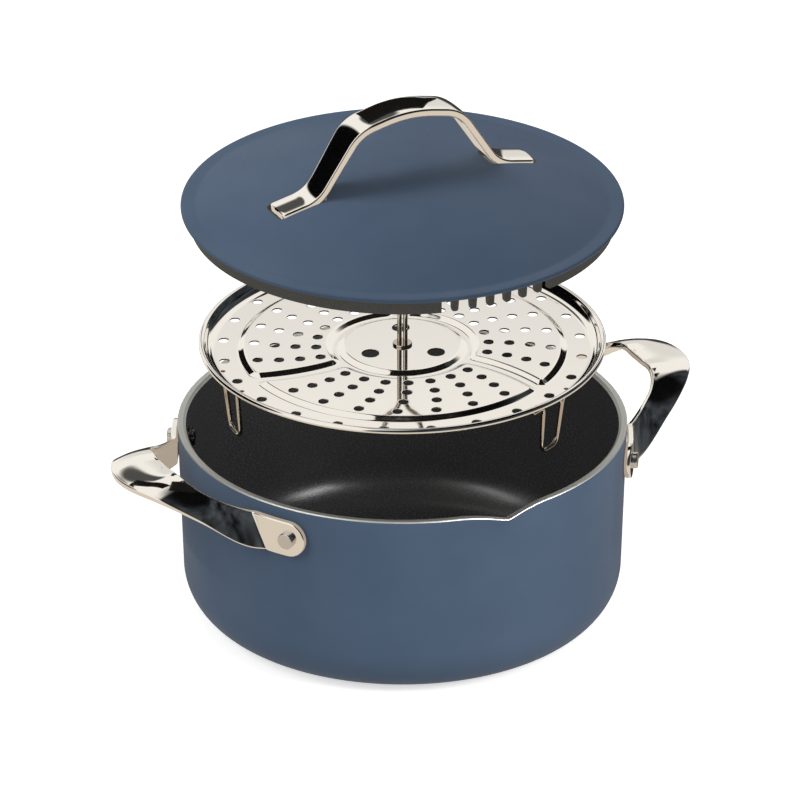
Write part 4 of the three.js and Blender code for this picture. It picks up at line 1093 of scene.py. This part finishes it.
def ground_aluminium():
    """Bare rim, ground round on a lathe."""
    # Pale grey metal with fine rings that follow the rim; the rings, really 0.1 mm, are drawn at 0.5 mm.
    material, tree, place = started("ground_bare_aluminium")
    flat = add(tree, "ShaderNodeVectorMath", {0: place, 1: (1, 1, 0)}, operation="MULTIPLY")
    radius = add(tree, "ShaderNodeVectorMath", {0: flat}, "Value", operation="LENGTH")
    height = add(tree, "ShaderNodeSeparateXYZ", {0: place}, "Z")
    across = add(tree, "ShaderNodeCombineXYZ", {"X": radius, "Y": height})
    rings = add(tree, "ShaderNodeTexNoise", {"Vector": across, "Scale": per(0.5), "Detail": 3}, "Fac")
    return dressed(material, ("#abaca8", "#c2c3bf"), rings, (0.38, 0.52), rings, (rings, 0.03, 0.4), METAL)


def polished_steel(name, colour, roughness, wave, along_strap):
    """Stainless steel polished to a mirror."""
    # Warm bright metal with clear reflections that bend a little, because the sheet is never quite even, and
    # a trace of the polishing wheel in its gloss. The wheel's lines are drawn at 0.7 mm so that they show.
    material, tree, place = started(name)
    if along_strap:
        lengths = add(tree, "ShaderNodeAttribute", {}, "Vector", attribute_name="strap_mm")
        place = add(tree, "ShaderNodeVectorMath", {0: lengths, "Scale": MM}, operation="SCALE")
    stretched = add(tree, "ShaderNodeMapping", {"Vector": place, "Scale": (0.06, 1.0, 1.0)})
    lines = add(tree, "ShaderNodeTexNoise", {"Vector": stretched, "Scale": per(0.7), "Detail": 3}, "Fac")
    sway = add(tree, "ShaderNodeTexNoise", {"Vector": place, "Scale": per(30), "Detail": 1}, "Fac")
    return dressed(material, (colour,), None, roughness, lines, (sway, wave, 1.0), METAL)


def tumbled_steel(name, colour):
    """Stainless steel as turned or punched and then tumbled."""
    # Softened metal: highlights spread a little and small dents from tumbling show, 1.4 mm wide.
    material, tree, place = started(name)
    dents = add(tree, "ShaderNodeTexNoise", {"Vector": place, "Scale": per(1.4), "Detail": 2}, "Fac")
    return dressed(material, (colour,), None, (0.18, 0.30), dents, (dents, 0.04, 0.4), METAL)


def weld_tint():
    """Stainless steel over a spot weld."""
    # Straw to brown heat colour, darkest in patches of 0.8 mm.
    material, tree, place = started("heat_tinted_stainless_steel")
    patches = add(tree, "ShaderNodeTexNoise", {"Vector": place, "Scale": per(0.8), "Detail": 2}, "Fac")
    return dressed(material, ("#5f4229", "#8d6a45"), patches, (0.35,), None, None, METAL)


def grey_silicone():
    """Moulded silicone rubber."""
    # Matt dark grey with the fine sanded grain of its mould, really 0.2 mm and drawn at 0.8 mm.
    material, tree, place = started("dark_grey_moulded_silicone")
    grain = add(tree, "ShaderNodeTexNoise", {"Vector": place, "Scale": per(0.8), "Detail": 3}, "Fac")
    bump = (grain, 0.06, 0.6)
    return dressed(material, ("#3b3a38", "#4e4d4a"), grain, (0.58, 0.75), grain, bump, {"IOR": 1.42})


BLUE = slate_blue_coating()
CHARCOAL = charcoal_nonstick()
BARE_RIM = ground_aluminium()
HANDLE_STEEL = polished_steel("polished_handle_steel", "#f1ede6", (0.042, 0.084), 0.004, True)
RACK_STEEL = polished_steel("polished_rack_steel", "#efebe5", (0.035, 0.07), 0.005, False)
WIRE_STEEL = polished_steel("polished_wire_steel", "#c2b6a8", (0.056, 0.112), 0.002, False)
RIVET_STEEL = tumbled_steel("tumbled_stainless_steel", "#cfcbc6")
INNER_STEEL = tumbled_steel("dark_oxidised_stainless_steel", "#4a4846")
PUNCHED_STEEL = tumbled_steel("punched_stainless_edge", "#4c4843")
WELD_STEEL = weld_tint()
SILICONE = grey_silicone()


# Pieces

def closed(mesh):
    """Merges the points of seams and poles and turns the faces of each closed shell outwards."""
    work = bmesh.new()
    work.from_mesh(mesh)
    bmesh.ops.remove_doubles(work, verts=work.verts, dist=WELD_DISTANCE)
    bmesh.ops.dissolve_degenerate(work, edges=work.edges, dist=WELD_DISTANCE / 2)
    bmesh.ops.recalc_face_normals(work, faces=work.faces)
    work.to_mesh(mesh)
    work.free()


def placed(name, points, faces, materials):
    """An object at the origin with a new mesh, in the scene."""
    mesh = bpy.data.meshes.new(name)
    mesh.from_pydata(points, [], faces)
    for material in materials:
        mesh.materials.append(material)
    made = bpy.data.objects.new(name, mesh)
    bpy.context.scene.collection.objects.link(made)
    return made


def shaped(name, surfaces, materials, offset=(0, 0, 0), turn=0, lengths=None):
    """An object made of surfaces, turned about Z and moved, with its points in metres."""
    starts = np.cumsum([0] + [len(points) for points, _, _ in surfaces])
    points = np.concatenate([points for points, _, _ in surfaces])
    points = (spun(points, turn) + np.asarray(offset)) * MM
    groups = [faces if isinstance(faces, list) else [faces] for _, faces, _ in surfaces]
    faces = [row for own, start in zip(groups, starts) for group in own for row in (group + start).tolist()]
    counts = [sum(len(group) for group in own) for own in groups]
    finishes = [np.broadcast_to(finish, count) for (_, _, finish), count in zip(surfaces, counts)]
    made = placed(name, points.tolist(), faces, materials)
    made.data.polygons.foreach_set("material_index", np.concatenate(finishes).astype(np.int32))
    if lengths is not None:
        measure = made.data.attributes.new("strap_mm", "FLOAT_VECTOR", "POINT")
        measure.data.foreach_set("vector", lengths.reshape(-1).astype(np.float32))
    closed(made.data)
    return made


def finished(made, body, nodes, crease=CREASE):
    """Shades a piece smooth up to a crease angle, lets it ride on its body and stand for its solids."""
    made.data.polygons.foreach_set("use_smooth", np.ones(len(made.data.polygons), bool))
    made.data.set_sharp_from_angle(angle=math.radians(crease))
    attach(made, body)
    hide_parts(*nodes)
    return made


def carved(made, cutter, operation):
    """Joins a shape to a piece or cuts it out, and removes the shape."""
    step = made.modifiers.new("carve", "BOOLEAN")
    step.operation = operation
    step.object = cutter
    step.solver = "EXACT"
    graph = bpy.context.evaluated_depsgraph_get()
    result = bpy.data.meshes.new_from_object(made.evaluated_get(graph))
    made.modifiers.clear()
    made.data = result
    bpy.data.objects.remove(cutter)


def let_light_by(pieces):
    """Lets the studio light pass pieces that hang over the pot, so that it reaches the inside of the pot."""
    for piece in pieces:
        piece.visible_shadow = False
        piece.visible_diffuse = False


def make_pot():
    """The pot, its two handles, and a rivet and a washer in each foot of them."""
    pot = shaped("pot", [pot_surface()], [BLUE, BARE_RIM, CHARCOAL])
    finished(pot, "pot", ["pot_body"])
    strap, lengths = side_handle()
    rivet = surface(along_x(turned(rivet_profile(), SMALL_SEGMENTS)), finish=rivet_finish())
    bottom = RIVET_WASHER_SEAT - RIVET_WASHER_HEIGHT
    ring = ring_profile(RIVET_SHANK, RIVET_WASHER, bottom, RIVET_WASHER_HEIGHT, RIVET_WASHER_EDGE)
    washer = surface(along_x(turned(ring, SMALL_SEGMENTS)))
    for side, turn in (("right", 0), ("left", 180)):
        made = shaped(f"{side}_handle_strap", [surface(strap)], [HANDLE_STEEL], turn=turn, lengths=lengths)
        finished(made, "pot", [f"{side}_handle"])
        for place, angle in (("a", SIDE_FOOT_ANGLE), ("b", -SIDE_FOOT_ANGLE)):
            at = {"offset": (0, 0, SIDE_FOOT_HEIGHT), "turn": turn + angle}
            made = shaped(f"{side}_rivet_{place}", [rivet], [RIVET_STEEL, INNER_STEEL], **at)
            finished(made, "pot", [f"{side}_handle_rivet_{place}"])
            made = shaped(f"{side}_washer_{place}", [washer], [INNER_STEEL], **at)
            finished(made, "pot", [f"{side}_rivet_washer_{place}"])


def make_rack():
    """The steam rack: sheet, legs, lifting loop with its washer, and weld marks."""
    at = {"offset": (0, 0, RACK_Z), "turn": RACK_TURN}
    seat = PANEL_HEIGHT + SHEET_BOW
    ring = ring_profile(LOOP_WASHER_BORE, LOOP_WASHER, seat, LOOP_WASHER_HEIGHT, LOOP_WASHER_EDGE)
    legs = [
        (f"rack_wire_leg_{number + 1}", [surface(rack_leg(number))], [WIRE_STEEL], [f"rack_leg_{number + 1}"])
        for number in range(SPOKE_COUNT)
    ]
    rows = [
        ("rack_sheet", rack_surfaces(), [RACK_STEEL, PUNCHED_STEEL], ["rack_plate"]),
        *legs,
        ("rack_lifting_loop", [surface(lifting_loop())], [WIRE_STEEL], ["lifting_loop"]),
        ("rack_loop_washer", [surface(turned(ring, SMALL_SEGMENTS))], [WIRE_STEEL], ["loop_washer"]),
        ("rack_weld_marks", weld_marks(), [WELD_STEEL], []),
    ]
    let_light_by([
        finished(shaped(name, surfaces, materials, **at), "rack", nodes)
        for name, surfaces, materials, nodes in rows
    ])


def make_lid():
    """The lid: dome with two handle pockets, silicone ring, handle, and its screws and washers."""
    at = {"offset": (0, 0, LID_Z)}
    coats = [BLUE, CHARCOAL]
    top, under = lid_profile()
    finish = np.repeat([0, 1], [len(top), len(under)])[:-1]
    grid = turned(np.concatenate([top, under]), LID_SEGMENTS)
    shell = shaped("lid_dome", [surface(grid, finish=finish)], coats, **at)
    for side in (1, -1):
        boss = foot_block(BOSS_WALL, BOSS_BOTTOM, -LID_SHELL / 2, side)
        carved(shell, shaped("boss", [(*boss, 1)], coats, **at), "UNION")
    for side in (1, -1):
        # The pocket's cut walls and floor take the charcoal coating: painted shade in the gaps round the
        # handle's feet, since the lid's shell casts no shadow there.
        pocket = foot_block(0, -POCKET_DEPTH, GRIP_STRAP + POCKET_DEPTH, side)
        carved(shell, shaped("pocket", [(*pocket, 1)], coats, **at), "DIFFERENCE")
    finished(shell, "lid", ["lid_shell"], crease=LID_CREASE)
    ring = shaped("lid_silicone_ring", gasket_surfaces(), [SILICONE], **at)
    finished(ring, "lid", ["lid_gasket"], crease=GASKET_CREASE)
    let_light_by([shell, ring])
    strap, lengths = lid_handle()
    rows, columns = strap.shape[:2]
    points, faces, _ = surface(strap)
    ends = [cap(0, columns), cap((rows - 1) * columns, columns, True)]
    grip = shaped("lid_handle_strap", [(points, [faces, *ends], 0)], [HANDLE_STEEL], lengths=lengths, **at)
    finished(grip, "lid", ["lid_handle"])
    unmirrored = [shell, ring, grip]
    bottom = BOSS_BOTTOM - SCREW_WASHER_HEIGHT
    profile = ring_profile(SCREW_WASHER_BORE, SCREW_WASHER, bottom, SCREW_WASHER_HEIGHT, SCREW_WASHER_EDGE)
    washer = turned(profile, SMALL_SEGMENTS)
    for name, side in (("right", 1), ("left", -1)):
        for kind, grid in (("screw", screw_surface()), ("washer", washer)):
            made = shaped(f"lid_handle_{kind}_{name}", [surface(on_foot(grid, side))], [RIVET_STEEL], **at)
            unmirrored.append(finished(made, "lid", [f"lid_{kind}_{name}"]))
    for piece in unmirrored:
        piece.visible_glossy = False


# Studio

def view_axes():
    """The direction from the object to the camera, and the picture's right and up."""
    bearing, rise = math.radians(CAMERA_AZIMUTH), math.radians(CAMERA_ELEVATION)
    level = math.cos(rise)
    towards = Vector((math.sin(bearing) * level, -math.cos(bearing) * level, math.sin(rise)))
    right = Vector((math.cos(bearing), math.sin(bearing), 0))
    return towards, right, towards.cross(right)


def make_camera():
    """A long lens far away, so that the picture is close to parallel."""
    towards, right, up = view_axes()
    data = bpy.data.cameras.new("camera")
    data.sensor_width = CAMERA_SENSOR
    data.lens = data.sensor_width * CAMERA_DISTANCE / (FRAME_WIDTH * MM)
    data.clip_end = CAMERA_REACH
    camera = bpy.data.objects.new("camera", data)
    target = Vector((0, 0, POT_HEIGHT * MM)) + (right * FRAME_RIGHT + up * FRAME_UP) * MM
    camera.location = target + towards * CAMERA_DISTANCE
    camera.rotation_euler = towards.to_track_quat("Z", "Y").to_euler()
    bpy.context.scene.collection.objects.link(camera)
    bpy.context.scene.camera = camera


def direction(bearing, rise):
    """A direction by its bearing from straight behind the object, clockwise from above, and its rise."""
    turn = math.radians(CAMERA_AZIMUTH + 90) - math.radians(bearing)
    level = math.cos(math.radians(rise))
    return math.cos(turn) * level, math.sin(turn) * level, math.sin(math.radians(rise))


def with_panels(tree, room, panels, colour):
    """A room's colour with round panels laid over it, each with a soft edge."""
    place = add(tree, "ShaderNodeTexCoord", {}, "Generated")
    for bearing, height, half, blur, dark in panels:
        middle = {0: place, 1: direction(bearing, height)}
        facing = add(tree, "ShaderNodeVectorMath", middle, "Value", operation="DOT_PRODUCT")
        shade = add(tree, "ShaderNodeMapRange", {
            "Value": facing,
            "From Min": math.cos(math.radians(half + blur)),
            "From Max": math.cos(math.radians(half)),
            "To Max": dark,
        }, interpolation_type="SMOOTHSTEP")
        room = add(tree, "ShaderNodeMix", {0: shade, 6: room, 7: colour}, 2, data_type="RGBA")
    return room


def make_world():
    """White to the camera, an even soft light to the surfaces, and to reflections a white room
    with dark panels that have soft edges, a warm grey ground and a dark panel near the ground."""
    world = bpy.data.worlds.new("studio")
    bpy.context.scene.world = world
    world.use_nodes = True
    tree = world.node_tree
    tree.nodes.clear()
    place = add(tree, "ShaderNodeTexCoord", {}, "Generated")
    black = linear("#050506")
    rise = add(tree, "ShaderNodeSeparateXYZ", {0: place}, "Z")
    ground = add(tree, "ShaderNodeMapRange", {"Value": rise, **GROUND_EDGE})
    folds = add(tree, "ShaderNodeTexNoise", {"Vector": place, "Scale": CLOTH_FOLDS, "Detail": 2}, "Fac")
    folds = add(tree, "ShaderNodeMapRange", {"Value": folds, **NOISE_SPREAD})
    cloth = add(tree, "ShaderNodeMix", {0: folds, 6: black, 7: linear("#4d535a")}, 2, data_type="RGBA")
    hung = with_panels(tree, linear("#fffdf9"), DARK_CLOTHS, cloth)
    shades = {0: ground, 6: with_panels(tree, hung, DARK_PANELS, black), 7: linear("#e2d7c9")}
    room = add(tree, "ShaderNodeMix", shades, 2, data_type="RGBA")
    seen = {"Color": with_panels(tree, room, LOW_PANELS, black), "Strength": 1.0}
    mirrored = add(tree, "ShaderNodeBackground", seen)
    white = add(tree, "ShaderNodeBackground", {"Color": (1, 1, 1, 1), "Strength": 1.0})
    soft = add(tree, "ShaderNodeBackground", {"Color": (1, 1, 1, 1), "Strength": ROOM_LIGHT})
    rays = add(tree, "ShaderNodeLightPath", {}).node.outputs
    lit = add(tree, "ShaderNodeMixShader", {0: rays["Is Glossy Ray"], 1: soft, 2: mirrored})
    ends = {0: rays["Is Camera Ray"], 1: rays["Is Transmission Ray"]}
    clear = add(tree, "ShaderNodeMath", ends, operation="MAXIMUM")
    final = add(tree, "ShaderNodeMixShader", {0: clear, 1: lit, 2: white})
    add(tree, "ShaderNodeOutputWorld", {"Surface": final})


def make_lamp(name, bearing, rise, size, power, pieces):
    """A square soft lamp aimed at the rim, which lights only the named pieces."""
    data = bpy.data.lights.new(name, "AREA")
    data.shape = "SQUARE"
    data.size = size
    data.energy = power
    lamp = bpy.data.objects.new(name, data)
    away = Vector(direction(bearing, rise))
    lamp.location = Vector((0, 0, POT_HEIGHT * MM)) + away * LAMP_DISTANCE
    lamp.rotation_euler = away.to_track_quat("Z", "Y").to_euler()
    lit = bpy.data.collections.new(f"lit_by_{name}")
    for piece in pieces:
        lit.objects.link(bpy.data.objects[piece])
    lamp.light_linking.receiver_collection = lit
    bpy.context.scene.collection.objects.link(lamp)
    return lamp


def make_floor():
    """A plain pale floor that keeps the shadow and, to the camera, is as white as the background."""
    material = bpy.data.materials.new("pale_floor")
    material.use_nodes = True
    tree = material.node_tree
    tree.nodes.clear()
    rays = add(tree, "ShaderNodeLightPath", {}).node.outputs
    matt = add(tree, "ShaderNodeBsdfDiffuse", {"Color": linear("#e9e8e6")})
    glow = add(tree, "ShaderNodeEmission", {"Color": (1, 1, 1, 1), "Strength": FLOOR_GLOW})
    both = add(tree, "ShaderNodeAddShader", {0: matt, 1: glow})
    seen = add(tree, "ShaderNodeMixShader", {0: rays["Is Camera Ray"], 1: matt, 2: both})
    add(tree, "ShaderNodeOutputMaterial", {"Surface": seen})
    reach = FLOOR_SIZE / 2
    corners = [(x * reach, y * reach, FLOOR_Z) for x, y in ((-1, -1), (1, -1), (1, 1), (-1, 1))]
    floor = placed("floor", corners, [(0, 1, 2, 3)], [material])
    floor.visible_glossy = False


def make_card(name, points, faces, material):
    """A card of the set that only reflections show."""
    card = placed(name, points, faces, [material])
    card.visible_camera = False
    card.visible_diffuse = False
    card.visible_shadow = False


def make_black_cards():
    """Black cards: one behind the lid's handle, whose crown mirrors it; one over the set for the rack's front
    bevels, one low behind it and one on each side for its arcs; and one over the left handle's tip."""
    material = bpy.data.materials.new("black_card")
    material.use_nodes = True
    shader = material.node_tree.nodes["Principled BSDF"]
    add(material.node_tree, shader, {"Base Color": linear("#050506"), "Roughness": 1.0})
    basis = np.array([view_axes()[1], direction(0, 0), (0, 0, 1)]) * MM
    for name, places in BLACK_CARDS.items():
        make_card(name, (np.array(places) @ basis).tolist(), [range(len(places))], material)


def make_wall_cards():
    """Glowing warm grey cards close to the wall behind each side handle, which only the handles mirror: a
    painted reflection that the handles show in place of the pot's blue wall. They are bands round the pot at
    r = wall + gap, from the card's lowest height to just under the rim."""
    material = bpy.data.materials.new("painted_reflection_card")
    material.use_nodes = True
    tree = material.node_tree
    tree.nodes.clear()
    # The cards glow at their own warm grey under any light: a painted reflection in the side handles.
    glow = add(tree, "ShaderNodeEmission", {"Color": linear("#b5a99b"), "Strength": 1.0})
    add(tree, "ShaderNodeOutputMaterial", {"Surface": glow})
    height = np.linspace(WALL_CARD_BOTTOM, POT_HEIGHT - WALL_CARD_DROP, SHORT_STEPS)[:, None]
    radius = wall_radius(height) + WALL_CARD_GAP
    angle = np.radians(np.linspace(-WALL_CARD_ANGLE, WALL_CARD_ANGLE, WALL_CARD_COLUMNS))
    grid = points_of(radius * np.cos(angle), radius * np.sin(angle), height) * MM
    for name, turn in (("right_wall_card", 0), ("left_wall_card", 180)):
        points = spun(grid.reshape(-1, 3), turn).tolist()
        make_card(name, points, quads(*grid.shape[:2]).tolist(), material)


make_camera()
make_world()
make_floor()
make_black_cards()
make_wall_cards()
make_pot()
make_rack()
make_lid()
lamps = {name: make_lamp(name, *settings) for name, settings in LAMPS.items()}
lamps["glint_lamp"].visible_diffuse = False
lamps["glint_lamp"].light_linking.blocker_collection = bpy.data.collections.new("glint_lamp_blockers")
bpy.context.scene.view_settings.view_transform = "Standard"
